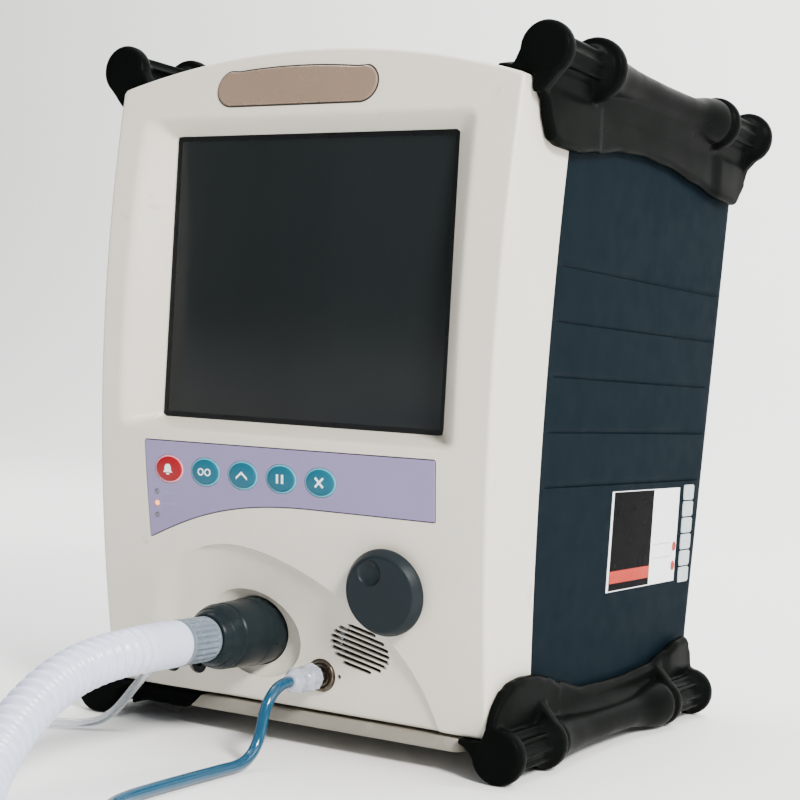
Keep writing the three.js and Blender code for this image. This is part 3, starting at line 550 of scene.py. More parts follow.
def surface(name, color, rough, mottle, gloss=None, grain=None, marks=None, **fixed):
    """A material from layers, each given as the values that its method takes."""
    made_of = Surface(name, color, rough, **fixed).mottle(*mottle)
    if marks:
        made_of.marks(*marks)
    if gloss:
        made_of.gloss(*gloss)
    if grain:
        made_of.grain(*grain)
    return made_of.done()


def moulded(name, color, rough=0.45, drift=0.04, grain=0.12, specular=0.5, marks=None, **fixed):
    """Plastic, paint or print, all with the same fine mottle and grain."""
    layers = (35, drift), (90, 0.06), (1400, grain), marks
    return surface(name, color, rough, *layers, Specular_IOR_Level=specular, **fixed)


def metal(name, color, rough=0.3, stretch=(1, 1, 1), marks=None):
    layers = (120, 0.08, stretch), (200, 0.08), (900, 0.1, 0.0001, stretch), marks
    return surface(name, color, rough, *layers, Metallic=1.0)


def clear_plastic(name, color, rough, share):
    layers = (200, 0.06), (200, 0.04), (500, 0.08, 0.0002)
    glassy = {"Transmission_Weight": share, "IOR": 1.45, "Coat_Weight": 0.3}
    return surface(name, color, rough, *layers, **glassy)


OFF_WHITE = moulded("bezel_plastic", 0xCFC9BC, 0.42, 0.02, 0.1, marks=(70, 0.72, 0x9C968A, 0.35))
# The tray's colour is painted shade: darkened well below the bezel's to stand for the shade on the
# tray, which faces down.
SHADED_TRAY = moulded("tray_plastic", 0x7A756A, 0.45, 0.05, marks=(90, 0.68, 0x8A857B, 0.5))
CASE = moulded("case_paint", 0x0A141A, 0.6, 0.02, 0.2, 0.012, (160, 0.78, 0x18242A, 0.25))
COAT_MARKS = (120, 0.72, 0x757C80, 0.5)
PANEL = moulded("panel_coat", 0x454E54, 0.5, 0.05, 0.3, marks=COAT_MARKS, Metallic=0.3)
NAMEPLATE = moulded("nameplate_plastic", 0x8C7766, 0.3, 0.04, 0.05, Metallic=0.35)
# Near-black for painted shade: the dark ring round the nameplate, the gap round the keypad film and
# the inside of the pin hole.
PAINTED_SHADE = moulded("dark_line", 0x161616, 0.6, 0.1)
FILM = moulded("keypad_film", 0x80769A, 0.42, 0.025, 0.16, 0.3, (80, 0.74, 0x7F7690, 0.3))
KEY_RED = moulded("key_red", 0x880012, 0.4, 0.05, 0.1, 0.3)
KEY_TEAL = moulded("key_teal", 0x055468, 0.4, 0.05, 0.1, 0.3)
KEY_RIM_TEAL = moulded("key_rim_teal", 0x479FB3, 0.4, 0.04, 0.1)
KEY_RIM_RED = moulded("key_rim_red", 0xD98A98, 0.4, 0.04, 0.1)
PRINT_WHITE = moulded("print_white", 0xE8F0F2, 0.5, 0.03, 0.05)
PRINT_GREY = moulded("print_grey", 0x7C7F98, 0.5, 0.05, 0.05)
LAMP_OFF = moulded("lamp_grey", 0x55545F, 0.25, 0.05, 0.02, Coat_Weight=0.5)
SLATE = moulded("slate_plastic", 0x141C20, 0.42, 0.06, 0.1, 0.16, (150, 0.77, 0x2A343A, 0.22))
ADAPTER = moulded("adapter_plastic", 0x161E21, 0.3, 0.08, 0.08, 0.08, (150, 0.76, 0x343E42, 0.25))
BLACK = moulded("black_plastic", 0x0C0D0E, 0.45, 0.1, 0.2, 0.12, (120, 0.76, 0x222326, 0.3))
DARK_GREY = moulded("dark_grey_plastic", 0x181B1E, 0.5, 0.08, 0.2, 0.15)
DUCT = moulded("duct_plastic", 0x9AA0A2, 0.5, 0.05, 0.15)
PALE = moulded("pale_plastic", 0xD8D8D4, 0.4, 0.04, 0.1)
BOARD = moulded("circuit_board", 0x1F5A3C, 0.45, 0.15, 0.3, marks=(400, 0.62, 0xB8862F, 0.8))
SCREEN_EDGE = moulded("screen_border", 0x0C0E0F, 0.3, 0.1, 0.0, 0.2)
LABEL_WHITE = moulded("label_white", 0xE9EBEC, 0.3, 0.03, 0.05, marks=(120, 0.72, 0x9EA3A8, 0.4))
LABEL_BLACK = moulded("label_black", 0x020203, 0.25, 0.15, 0.03, 0.006, (120, 0.78, 0x2A2A2E, 0.3))
LABEL_ORANGE = moulded("label_orange", 0xA01E04, 0.45, 0.05, 0.05, 0.1)
LABEL_GREY = moulded("label_grey", 0xA9B2B7, 0.4, 0.05, 0.08, marks=(160, 0.7, 0x6E767B, 0.4))

STEEL = metal("brushed_steel", 0xAEB2B5, 0.3, (1, 12, 1))
SHEET_METAL = metal("plated_sheet", 0xB7BBBD, 0.34, marks=(150, 0.7, 0x85898B, 0.4))
BRASS = metal("turned_brass", 0xB08A45, 0.3, (1, 1, 8))
BRONZE = metal("worn_plating", 0x5F564B, 0.34, marks=(260, 0.58, 0x3B2F25, 0.8))

RUBBER_LAYERS = (45, 0.12), (60, 0.08), (700, 0.12, 0.0002), (110, 0.74, 0x232522, 0.3)
RUBBER = surface("bumper_rubber", 0x080A09, 0.34, *RUBBER_LAYERS, Specular_IOR_Level=0.007)
FOAM = surface("open_foam", 0x3B3B3B, 0.95, (300, 0.3), grain=(1800, 0.9, 0.0006))
PAPER = surface("speaker_paper", 0x17171A, 0.9, (200, 0.2), grain=(900, 0.5, 0.0002))
SCREEN_LAYERS = (14, 0.18, (1, 1, 0.25)), (25, 0.05), None, (240, 0.76, 0x5A5F62, 0.25)
SCREEN = surface("screen_glass", 0x15191A, 0.2, *SCREEN_LAYERS, Specular_IOR_Level=0.14)
HOSE_LAYERS = (120, 0.03), (160, 0.06), (500, 0.08, 0.0002)
HOSE_DEPTH = {"Subsurface_Weight": 0.12, "Subsurface_Scale": 0.003}
HOSE_PLASTIC = surface("hose_plastic", 0xC6CEE2, 0.3, *HOSE_LAYERS, **HOSE_DEPTH)
CUFF_LAYERS = (160, 0.06), (160, 0.05), (600, 0.06, 0.0002)
CUFF_DEPTH = {"Subsurface_Weight": 0.05, "Subsurface_Scale": 0.004}
CUFF_PLASTIC = surface("cuff_plastic", 0x64717C, 0.25, *CUFF_LAYERS, **CUFF_DEPTH)
BLUE_TUBE = clear_plastic("blue_tube", 0x064A68, 0.16, 0.35)
CLEAR_TUBE = clear_plastic("clear_tube", 0xD8DFE4, 0.12, 0.75)
FITTING = clear_plastic("clear_fitting", 0xDCE2F0, 0.1, 0.7)


def lit_lamp():
    glow = Surface("lamp_lit", 0xFFA35A, 0.3, Emission_Strength=2.2)
    glow.inputs["Emission Color"].default_value = linear(0xFF8A2E)
    return glow.mottle(600, 0.1).grain(900, 0.1).done()


LAMP_LIT = lit_lamp()

# ---------------- hose and lines

HOSE_RADIUS, HOSE_VALLEY, HOSE_PITCH = 9.9, 7.7, 5.7
HOSE_CUFF = (-147.3, -168.0)
HOSE_SMOOTH = 26.0  # the plain sleeve between the ribbed cuff and the corrugations
HOSE_COIL = (-50.3, -438.0)
HOSE_COIL_ENTRY, HOSE_COIL_LEAVE = 55, 74  # degrees round the coil
HOSE_COIL_RADIUS = 132.2
HOSE_TURNS = 2 + (HOSE_COIL_ENTRY - HOSE_COIL_LEAVE) / 360
HOSE_TURN_PITCH = 24.0  # each turn lies this far inside the one before
HOSE_END_INWARD = math.radians(5)
HOSE_END_LONG = 24.0
HOSE_LIES_AT = 10.2  # height of its middle line on the floor
HOSE_ROUTE = [
    (-20.5, -168.4, 48.8), (-20.5, -180, 48.8), (-20.3, -200, 48.5), (-19.6, -220, 47.1),
    (-18.4, -238, 43.9), (-16.6, -254, 38.5), (-13.6, -269.8, 31.3), (-8.1, -287.5, 21.8),
    (0.3, -303.7, 13.6), (11.6, -317.9, 10.6), (25.5, -329.7, 10.2),
]
LINE_RADIUS = 2.5
LINE_COIL = (86.0, -310.0)
LINE_ROUTE = [
    (17, -135.5, 33.5), (17, -140, 33.3), (16.9, -145, 31.6), (16.8, -149.5, 28),
    (16.6, -152.4, 23), (16.5, -153.9, 17.5), (16.4, -155.5, 12), (16.3, -159, 7),
    (16.2, -164, 3.9), (16, -170, 2.7), (15.8, -182, 2.6), (15.6, -205, 2.6),
    (15.8, -228, 2.6), (16.8, -243, 2.6), (20.5, -256, 2.6), (29, -266.5, 2.6),
    (42, -271.2, 2.6), (60, -272, 2.6), (86, -272, 2.6),
]
LINE_TAIL = [(124, -310, 7.7), (124, -320, 7.5), (123.6, -330, 6.6), (122.6, -340, 5.4)]
LINE_TAIL.append((121.4, -348, 4.7))
SENSE_RADIUS = 2.0
SENSE_COIL = (-158.0, -200.0)
SENSE_ROUTE = [
    (-65, -113, 29.5), (-65.2, -118, 29.3), (-66, -123.5, 27.6), (-67.6, -128.5, 24),
    (-70, -132.5, 18.8), (-72.8, -135.8, 13), (-76, -139, 7.8), (-80, -143, 4),
    (-85.5, -147.6, 2.3), (-93, -153, 2.1), (-103, -158.5, 2.1), (-115, -163, 2.1),
    (-130, -166.2, 2.1), (-144, -167.5, 2.1), (-158, -167.7, 2.1),
]
SENSE_TAIL = [(-190.3, -200, 6.2), (-190.3, -209, 6), (-190.9, -217, 5.3), (-192.2, -225, 4.7)]


def spiral(centre, start, sense, radius, pitch, turns, level):
    """Points round a centre. The radius changes by pitch each turn; level(share) is the height."""
    points = []
    count = round(turns * 60)
    for i in range(count + 1):
        turn = turns * i / count
        angle = math.radians(start) + sense * 2 * math.pi * turn
        reach = radius + pitch * turn
        x, y = centre[0] + reach * math.cos(angle), centre[1] + reach * math.sin(angle)
        points.append((x, y, level(i / count)))
    return points


def two_layers(centre, start, sense, outer, inner, low, high, turns):
    """A flat coil that winds inwards on the floor and back out on top of itself."""
    half = turns / 2
    pitch = (inner - outer) / half
    climb = 0.5 / half
    rise = (high - low) / 2

    def floor_level(share):
        return low + rise * float(step(share, 1 - climb, 1))

    def top_level(share):
        return low + rise + rise * float(step(share, 0, climb))

    under = spiral(centre, start, sense, outer, pitch, half, floor_level)
    turned_by = start + sense * 360 * half
    over = spiral(centre, turned_by, sense, inner, -pitch, half, top_level)
    return under + over[1:]


def corrugation(along):
    """The hose's radius at a distance from its start."""
    if along < HOSE_SMOOTH:
        return HOSE_RADIUS + 0.15 - 0.35 * float(step(along, HOSE_SMOOTH - 2.5, HOSE_SMOOTH))
    phase = ((along - HOSE_SMOOTH) / HOSE_PITCH) % 1
    settled = min(1.0, 0.35 + (along - HOSE_SMOOTH) / 30)  # the first grooves are shallower
    depth = (HOSE_RADIUS - HOSE_VALLEY) * settled
    return HOSE_RADIUS - depth * (0.5 + 0.5 * math.cos(2 * math.pi * phase)) ** 1.6


def declare(length, exit_at, extras):
    """Works out the exit point in metres and keeps nothing."""
    [c * MM for c in exit_at]


def add_hose():
    """The breathing hose with a ribbed cuff at the machine and a plain one at its far end."""
    winding = (HOSE_COIL_RADIUS, -HOSE_TURN_PITCH, HOSE_TURNS)
    turn = spiral(HOSE_COIL, HOSE_COIL_ENTRY, -1, *winding, lambda share: HOSE_LIES_AT)
    path = resampled(np.vstack([smooth_path(HOSE_ROUTE, 1.0), turn[1:]]), HOSE_PITCH / 6)
    gap = np.linalg.norm(path[1] - path[0])
    tube = swept(path, [corrugation(i * gap) for i in range(len(path))], 28)
    shows = ("breathing_hose", "breathing_hose_coil")
    hose = made("hose_tube", *tube, HOSE_PLASTIC, 80, shows=shows, slot="hose_white")

    def ribs(angle, y):
        within = HOSE_CUFF[1] + 3.2 < y < HOSE_CUFF[0] - 2.6
        return -0.95 * (0.5 + 0.5 * math.cos(22 * angle)) ** 2 if within else 0.0

    near, far = HOSE_CUFF
    profile = [(9.1, near), (9.8, near - 0.5), (9.9, near - 1.2), (9.9, near - 2.4)]
    profile += [(9.9, near - 2.8), (9.9, near - 8), (9.9, far + 8), (9.9, far + 3.4)]
    profile += [(9.9, far + 3.0), (10.1, far + 2.4), (10.1, far + 1.4), (9.5, far + 1.0)]
    profile += [(9.5, far + 0.5), (10.0, far + 0.2), (10.0, far - 0.4), (8.2, far - 0.4)]
    profile.append((8.2, near))
    cuff = placed(turned(profile, 208, ribs, closed=True), (OUTLET_X, 0, OUTLET_Z))
    look = (CUFF_PLASTIC, 50, "machine")
    near_cuff = made("hose_cuff_ribbed", *cuff, *look, "hose_cuff", "cuff_grey")
    end = [(8.3, 0), (9.9, 0), (10.0, 0.6), (10.0, 3), (9.4, 3.6), (9.4, 5), (10, 5.6)]
    end += [(10.0, HOSE_END_LONG - 0.8), (9.4, HOSE_END_LONG), (8.3, HOSE_END_LONG), (8.3, 4)]
    angle = math.radians(HOSE_COIL_LEAVE)
    reach = HOSE_COIL_RADIUS - HOSE_TURN_PITCH * HOSE_TURNS + 0.4
    x, y = HOSE_COIL[0] + reach * math.cos(angle), HOSE_COIL[1] + reach * math.sin(angle)
    spin = angle + math.pi - HOSE_END_INWARD
    cuff = placed(turned(end, 64, closed=True), (x, y, HOSE_LIES_AT), spin=spin)
    far_cuff = made("hose_cuff_plain", *cuff, *look, "hose_patient_cuff", "cuff_grey")
    declare(1.5, HOSE_ROUTE[0], [near_cuff, far_cuff])


def line_tip(tail, name, node):
    """The plain push connector on the end of a thin line."""
    a, b = (np.array(p, float) for p in tail[-2:])
    ahead = (b - a)[:2] / np.linalg.norm((b - a)[:2])
    profile = [(1.2, 0), (3.2, 0), (3.2, 9), (4.6, 10), (4.6, 17), (2.4, 18), (2.2, 24), (1.2, 24)]
    at = (*(b[:2] + ahead * 0.6), b[2])
    spin = math.atan2(ahead[1], ahead[0]) - math.pi / 2

    def grip(angle, y):
        return -0.35 * (0.5 + 0.5 * math.cos(12 * angle)) if 10.2 < y < 16.8 else 0.0

    part = placed(lathe(profile, 0.5, 3, 72, grip), at, spin=spin)
    return made(name, *part, FITTING, 45, shows=node, slot="fitting_clear")


def add_line(name, kind, node, material, radius, sides, spacing, route, coil, tail, length, extras):
    """A thin line: its way from the machine, a coil on the floor, and a tail with a tip."""
    whole = [smooth_path(route, 1.0), two_layers(*coil)[1:], smooth_path(tail, 1.0)[1:]]
    path = resampled(np.vstack(whole), spacing)
    tube = swept(path, [radius] * len(path), sides)
    line = made(name + "_tube", *tube, material, 80, shows=(node, node + "_coil"), slot=kind)
    tip = line_tip(tail, name + "_tip", node + "_end")
    declare(length, route[0], [tip, *extras])


def add_lines():
    coil = (LINE_COIL, 90, -1, 38, 22, 2.6, 7.7, 6.25)
    blue = ("blue_line", "blue_tube", "control_line", BLUE_TUBE, LINE_RADIUS, 14, 1.6)
    add_line(*blue, LINE_ROUTE, coil, LINE_TAIL, 1.43, [add_luer()])
    coil = (SENSE_COIL, 90, 1, 32.3, 15.7, 2.1, 6.2, 8.25)
    clear = ("clear_line", "clear_tube", "sensor_line", CLEAR_TUBE, SENSE_RADIUS, 12, 1.4)
    add_line(*clear, SENSE_ROUTE, coil, SENSE_TAIL, 1.41, [])


def add_luer():
    """The clear winged fitting that joins the blue line to the gas port."""
    start = front_y(GAS_Z) - 2.3
    profile = [(1.2, start), (4.6, start), (5.8, start - 2), (5.8, start - 8), (3.8, start - 9.5)]
    profile += [(3.8, start - 11), (5.4, start - 12), (5.4, start - 16)]
    profile += [(3.4, -135.2), (1.2, -135.2)]

    def wings(angle, y):
        if start - 7.6 < y < start - 2.2:
            return 0.5 * math.cos(8 * angle) ** 3
        if start - 15.8 < y < start - 12.2:
            return 0.5 * math.cos(6 * angle) ** 3
        return 0.0

    part = placed(lathe(profile, 0.6, 3, 96, wings), (GAS_X, 0, GAS_Z))
    shows = "control_line_fitting"
    return made("gas_fitting", *part, FITTING, 45, shows=shows, slot="fitting_clear")


# ---------------- front bezel

EDGE_ROUND = 1.7
CORNER_ROUND = 2.6


def body_outline(inset=0.0, spacing=2.2):
    """The machine's front outline, anticlockwise from the lower right, moved inwards by inset."""
    radius = (SHOULDER_HALF**2 + ARCH_RISE**2) / (2 * ARCH_RISE) - inset
    middle = SHOULDER_Z + ARCH_RISE - radius - inset
    half = SHOULDER_HALF - inset
    swing = math.asin(half / radius)
    angles = np.linspace(swing, -swing, 60)
    top = [(radius * math.sin(a), middle + radius * math.cos(a)) for a in angles]
    low = SILL_HALF - inset
    corners = [(-low, SILL_Z + inset), (low, SILL_Z + inset), *top]
    return rounded_corners(corners, max(CORNER_ROUND - inset, 0.4), spacing)


def rounded_corners(corners, radius, spacing):
    """A closed outline with its sharp corners rounded."""
    return resampled(eased(corners, radius, 6, True, math.radians(25)), spacing, closed=True)


def swoosh_outline():
    """The edge of the hollow below the keypad, open at the sill."""
    rise = np.array([(-66, 6), (-71, 40)], float)
    left = bezier((-71, 40), (-74, 62), (-64, 84), (-32, 88))
    over = bezier((-32, 88), (-4, 90), (30, 72), (50, 58))
    right = bezier((50, 58), (66, 46), (76, 30), (81, 6))
    return np.vstack([rise, left[1:], over[1:], right[1:]])[::-1]


def overlay_outline():
    """The keypad: straight above, with a lower edge that follows the hollow."""
    lower = bezier((-73.5, 87), (-50, 98), (-30, 107), (14, 107.2))
    corners = [(-77, 133), *lower, (78.6, 107), (78.2, 134)]
    return rounded_corners(corners, 0.8, 1.6)


def name_outline(inset=0.0, spacing=1.2):
    """The nameplate: a flat foot, round ends and a top that follows the arch."""

    def round_end(x, first, last):
        wide, high = 8.4 - inset, 8.2 - inset
        turn = np.radians(np.linspace(first, last, 14))
        return [(x + wide * math.cos(a), 294.6 + high * math.sin(a)) for a in turn]

    top = [(x, 303.6 - 0.0016 * (x + 7.5) ** 2 - inset) for x in np.linspace(24, -39, 24)]
    whole = [*round_end(26.6, -85, 70), *top, *round_end(-41.6, 110, 265)]
    return resampled(whole, spacing, closed=True)


SWOOSH = swoosh_outline()
OVERLAY = overlay_outline()
SCOOP = (-19.4, 48.2, 25.0, 19.8)  # centre X and Z, half width, half height
SCOOP_SLANT = 0.18  # its top leans to the left
SPEAKER_X, SPEAKER_Z, SPEAKER_HALF, SPEAKER_TALL = 37.3, 48.0, 16.2, 10.0
SPEAKER_SLOTS, SPEAKER_PITCH, SPEAKER_SLOT = 8, 2.5, 1.7
RECESS_WIDE = (14.5, 13.5, 6.2, 8.6)  # width of the slope left, right, below and above the screen


def speaker_slots():
    """The grille's slots: round-ended, sloping to the right, cut short where the hollow ends."""
    tilt = -math.radians(12)
    along = np.array([math.cos(tilt), math.sin(tilt)])
    up = np.array([-along[1], along[0]])
    slots = []
    for i in range(SPEAKER_SLOTS):
        rise = (i - (SPEAKER_SLOTS - 1) / 2) * SPEAKER_PITCH
        half = SPEAKER_HALF * math.sqrt(1 - (rise / SPEAKER_TALL) ** 2)
        middle = np.array([SPEAKER_X, SPEAKER_Z]) + rise * up
        reach = np.linspace(0, half, 60)
        room = signed(middle + reach[:, None] * along, SWOOSH)
        right = reach[room > 1.1].max()
        r = SPEAKER_SLOT / 2
        ends = []
        for place, turn in ((right - r, -90), (-half + r, 90)):
            for a in np.radians(np.linspace(turn, turn + 180, 6)):
                ends.append(middle + (place + r * math.cos(a)) * along + r * math.sin(a) * up)
        slots.append(resampled(ends, 1.0, closed=True))
    return slots


def in_window(p, margin=0):
    left, right, low, high = WINDOW
    across = (p[:, 0] > left - margin) & (p[:, 0] < right + margin)
    return across & (p[:, 1] > low - margin) & (p[:, 1] < high + margin)


def recess_share(p):
    """0 at the window's edge and 1 where the slope round it meets the front face."""
    left, right, low, high = WINDOW
    gaps = (left - p[:, 0], p[:, 0] - right, low - p[:, 1], p[:, 1] - high)
    shares = [np.maximum(g, 0) / w for g, w in zip(gaps, RECESS_WIDE)]
    across, up = np.maximum(shares[0], shares[1]), np.maximum(shares[2], shares[3])
    return (across**3.2 + up**3.2) ** (1 / 3.2)


def recess_depth(p):
    share = recess_share(p)
    to_lip = LIP_Y - front_y(p[:, 1])
    slope = 1 - share
    soft = 0.20
    rolled = np.where(slope > 0, (np.sqrt(slope**2 + soft**2) - soft), 0)
    full = math.sqrt(1 + soft**2) - soft
    return to_lip * rolled / full


def hollow_depth(p):
    """The dish below the keypad: crisp on the upper right, soft on the left."""
    s = signed(p, SWOOSH)
    crisp = step(p[:, 0], -54, -34) * step(p[:, 1], -5, 1)
    floor = 0.6 + 3.2 * step(p[:, 1], 20, 58)
    inner = np.clip(s / 26.0, 0, 1)
    hard = np.where(s > 0, 1.5 * step(s, 0, 0.8) + floor * (1 - (1 - inner) ** 2), 0)
    soft = floor * step(s, -3.5, 11)
    return mix(soft, hard, crisp)


def scoop_depth(p):
    """The oval bowl round the outlet, which fades towards the left."""
    x, z, wide, high = SCOOP
    share = np.hypot((p[:, 0] - x + SCOOP_SLANT * (p[:, 1] - z)) / wide, (p[:, 1] - z) / high)
    crisp = step(p[:, 0], x - 22, x - 2)
    bowl = 7.0 * np.sqrt(np.clip(1 - share**2, 0, 1))
    faint = 6.5 * step(1.12 - share, 0, 0.75)
    return mix(faint, bowl, crisp)


def bezel_depth(p):
    """How far behind the plain bowed face the front surface lies."""
    s = distances(p, OUTLINE)
    near = np.clip(EDGE_ROUND - s, 0, EDGE_ROUND)
    edge = EDGE_ROUND - np.sqrt(EDGE_ROUND**2 - near**2)
    pocket = 0.75 * step(signed(p, OVERLAY), 0.0, 0.2)
    return edge + recess_depth(p) + hollow_depth(p) + scoop_depth(p) + pocket


OUTLINE = body_outline()


def triangulated(outline, holes, rails, spacing, clear=1.3, detail=()):
    """2-D vertices and triangles inside an outline, with an edge along every rail.

    detail lists (outline, spacing) areas whose grid is finer.
    """
    loops = [outline, *holes]
    points, edges = [], []
    for line, closed in [(loop, True) for loop in loops] + list(rails):
        first = len(points)
        points += [tuple(p) for p in line]
        count = len(line)
        last = count if closed else count - 1
        edges += [(first + i, first + (i + 1) % count) for i in range(last)]
    fixed = np.array(points)
    low, high = fixed.min(axis=0), fixed.max(axis=0)
    for area, gap in [(None, spacing), *detail]:
        xs, zs = (np.arange(low[k] + gap / 2, high[k], gap) for k in (0, 1))
        grid = np.stack(np.meshgrid(xs, zs), axis=-1).reshape(-1, 2)
        row = np.round((grid[:, 1] - low[1]) / gap).astype(int)
        grid[:, 0] += np.where(row % 2, gap / 2, 0)
        grid = grid[inside(grid, outline)]
        if area is not None:
            grid = grid[inside(grid, area)]
        else:
            for finer, _ in detail:
                grid = grid[~inside(grid, finer)]
        room = min(clear, 0.45 * gap)
        free = np.ones(len(grid), bool)
        for chunk in np.array_split(fixed, max(1, len(fixed) // 400)):
            gaps = np.linalg.norm(grid[:, None] - chunk[None], axis=2).min(axis=1)
            free &= gaps > room
        points += [tuple(p) for p in grid[free]]
    result = delaunay_2d_cdt([Vector(p) for p in points], edges, [], 0, 1e-4)
    flat = np.array([tuple(v) for v in result[0]])
    tris = np.array(result[2])
    middles = flat[tris].mean(axis=1)
    keep = inside(middles, outline)
    for hole in holes:
        keep &= ~inside(middles, hole)
    return flat, tris[keep]


def boundary_edges(tris):
    """Directed edges that only one triangle has."""
    seen = {}
    for tri in tris:
        for a, b in ((tri[0], tri[1]), (tri[1], tri[2]), (tri[2], tri[0])):
            seen[(int(a), int(b))] = True
    return [e for e in seen if (e[1], e[0]) not in seen]


def rails_of(line, shifts, closed=True):
    """The line at each shift, for triangulated to follow."""
    return [(offset(line, shift, closed), closed) for shift in shifts]


def add_bezel():
    """The front moulding: a relief of the bowed face, an inner skin and the rim at the seam."""
    left, right, low, high = WINDOW
    window = round_rect(left, right, low, high, 1.2, 2.4)
    holes = [window, circle(OUTLET_X, OUTLET_Z, 15.9, 72), circle(GAS_X, GAS_Z, 7.5, 40)]
    holes += [circle(x, z, 5.0, 28) for x, z in SENSOR_HOLES]
    holes += [circle(*PIN_HOLE, 1.05, 14), circle(KNOB_X, KNOB_Z, 6.4, 28)]
    holes += speaker_slots()
    insets = (0.12, 0.42, 0.9, EDGE_ROUND, EDGE_ROUND + 0.5)
    rails = [(body_outline(inset), True) for inset in insets]
    for share in (0.08, 0.3, 0.55, 0.75, 0.9, 1.0, 1.12):
        a, b, c, d = (w * share for w in RECESS_WIDE)
        outer = round_rect(left - a, right + b, low - c, high + d, 1.2 + 5 * share)
        rails.append((outer, True))
    swoosh = resampled(SWOOSH, 1.5)
    rails += rails_of(swoosh, (-0.5, 0.0, 0.3, 0.8, 1.4, 2.6), closed=False)
    x, z, wide, tall = SCOOP
    for share in (0.9, 0.96, 0.99, 1.0, 1.02, 1.07):
        rim = ellipse(x, z, wide * share, tall * share, 110)
        rim[:, 0] -= SCOOP_SLANT * (rim[:, 1] - z)
        rails.append((rim, True))
    rails += rails_of(OVERLAY, (-0.5, 0.0, 0.2, 0.7))
    for hole in holes[1:]:
        rails += rails_of(hole, (-0.35,))
    lower = np.array([(-78, 22), (84, 22), (84, 60), (30, 92), (-50, 94), (-78, 70)], float)
    rails = list(clipped([(np.array(line), closed) for line, closed in rails]))
    flat, tris = triangulated(OUTLINE, holes, rails, 5.0, 1.3, [(lower, 2.2)])
    used = np.unique(tris)
    remap = np.full(len(flat), -1)
    remap[used] = np.arange(len(used))
    flat, tris = flat[used], remap[tris]
    face = front_y(flat[:, 1]) + bezel_depth(flat)
    inner, back = inner_skin(flat, face)
    count = len(flat)
    faces = [tuple(t) for t in tris] + [tuple(t[::-1] + count) for t in tris]
    rim = distances(flat, OUTLINE) < 0.02
    seam = seam_y(flat[:, 1])
    verts = np.vstack([standing(flat, face), back, standing(flat, seam), standing(inner, seam)])
    for a, b in boundary_edges(tris):
        if rim[a] and rim[b]:
            chain = (0, 2 * count, 3 * count, count)
            for near, far in zip(chain, chain[1:]):
                faces.append((b + near, a + near, a + far, b + far))
        else:
            faces.append((b, a, a + count, b + count))
    used = sorted({i for f in faces for i in f})
    fresh = {old: new for new, old in enumerate(used)}
    faces = [tuple(fresh[i] for i in f) for f in faces]
    shell = (verts[used], faces)
    made("bezel_shell", *shell, OFF_WHITE, 38, shows="front_bezel", slot="bezel_plastic")


def clipped(rails):
    """The stretches of rails that lie well inside the outline and outside the window."""
    for line, closed in rails:
        good = (distances(line, OUTLINE) > 0.08) & inside(line, OUTLINE)
        good &= ~in_window(line)
        if good.all():
            yield line, closed
            continue
        if closed:
            shift = int(np.argmin(good))
            line, good = np.roll(line, -shift, axis=0), np.roll(good, -shift)
        run = []
        for p, fine in zip(line, good):
            if fine:
                run.append(p)
            elif len(run) > 2:
                yield np.array(run), False
            if not fine:
                run = []
        if len(run) > 2:
            yield np.array(run), False


def inner_skin(flat, face):
    """The bezel's inner surface: WALL behind the front, and WALL inside the outline."""
    s = distances(flat, OUTLINE)
    room = WALL + 2.5
    moved = np.where(s < room, WALL + s * (room - WALL) / room, s) - s
    centre = np.array([0.0, 160.0])
    eps = 0.05
    gx = distances(flat + (eps, 0), OUTLINE) - distances(flat - (eps, 0), OUTLINE)
    gz = distances(flat + (0, eps), OUTLINE) - distances(flat - (0, eps), OUTLINE)
    slope = np.stack([gx, gz], axis=1)
    size = np.linalg.norm(slope, axis=1)[:, None]
    toward = (centre - flat) / np.maximum(np.linalg.norm(centre - flat, axis=1)[:, None], 1e-6)
    slope = np.where((size > 0.02) & (s[:, None] > 0.3), slope / np.maximum(size, 1e-6), toward)
    inner = flat + slope * moved[:, None]
    seat = in_window(flat, 3)
    plain = front_y(flat[:, 1]) + WALL
    behind = np.maximum(face + 2.0, plain)
    behind = np.where(seat, np.minimum(behind, GLASS_Y - 0.15), behind)
    return inner, standing(inner, behind)


# ---------------- rubber bumpers

SPOOL_RADIUS, SPOOL_HUB, SPOOL_WAIST, DISC_LONG = 12.0, 8.6, 7.0, 7.8
VOXEL = 0.85
RUN_END = {True: 141.5, False: 112.5}  # how far back the top and the bottom bumpers run
# (distance along, how far the skirt hangs down the side), then (distance along, thickness)
TOP_SKIRT = [(-114.5, 4), (-112, 6), (-107, 10), (-103, 19), (-98, 25.5), (-90, 27), (-72, 27)]
TOP_SKIRT += [(-50, 24), (-20, 19.5), (5, 17.8), (30, 18.5), (60, 22), (85, 26), (104, 26.5)]
TOP_SKIRT += [(110, 20), (115, 9)]
LOW_SKIRT = [(-114.5, 6), (-112.5, 12), (-109, 17.5), (-104, 21.5), (-97, 24.3), (-88, 25.3)]
LOW_SKIRT += [(-76, 24.8), (-64, 22.8), (-50, 18.5), (-20, 13), (20, 12.5), (58, 14.5)]
LOW_SKIRT += [(78, 19), (94, 23), (106, 24), (111, 18), (115, 9)]
SKIRT_THICK = [(-114, 4.6), (-96, 5.6), (-52, 5.2), (-48, 3.9), (40, 3.9), (72, 4.2)]
SKIRT_THICK += [(84, 5.6), (112, 5.2)]


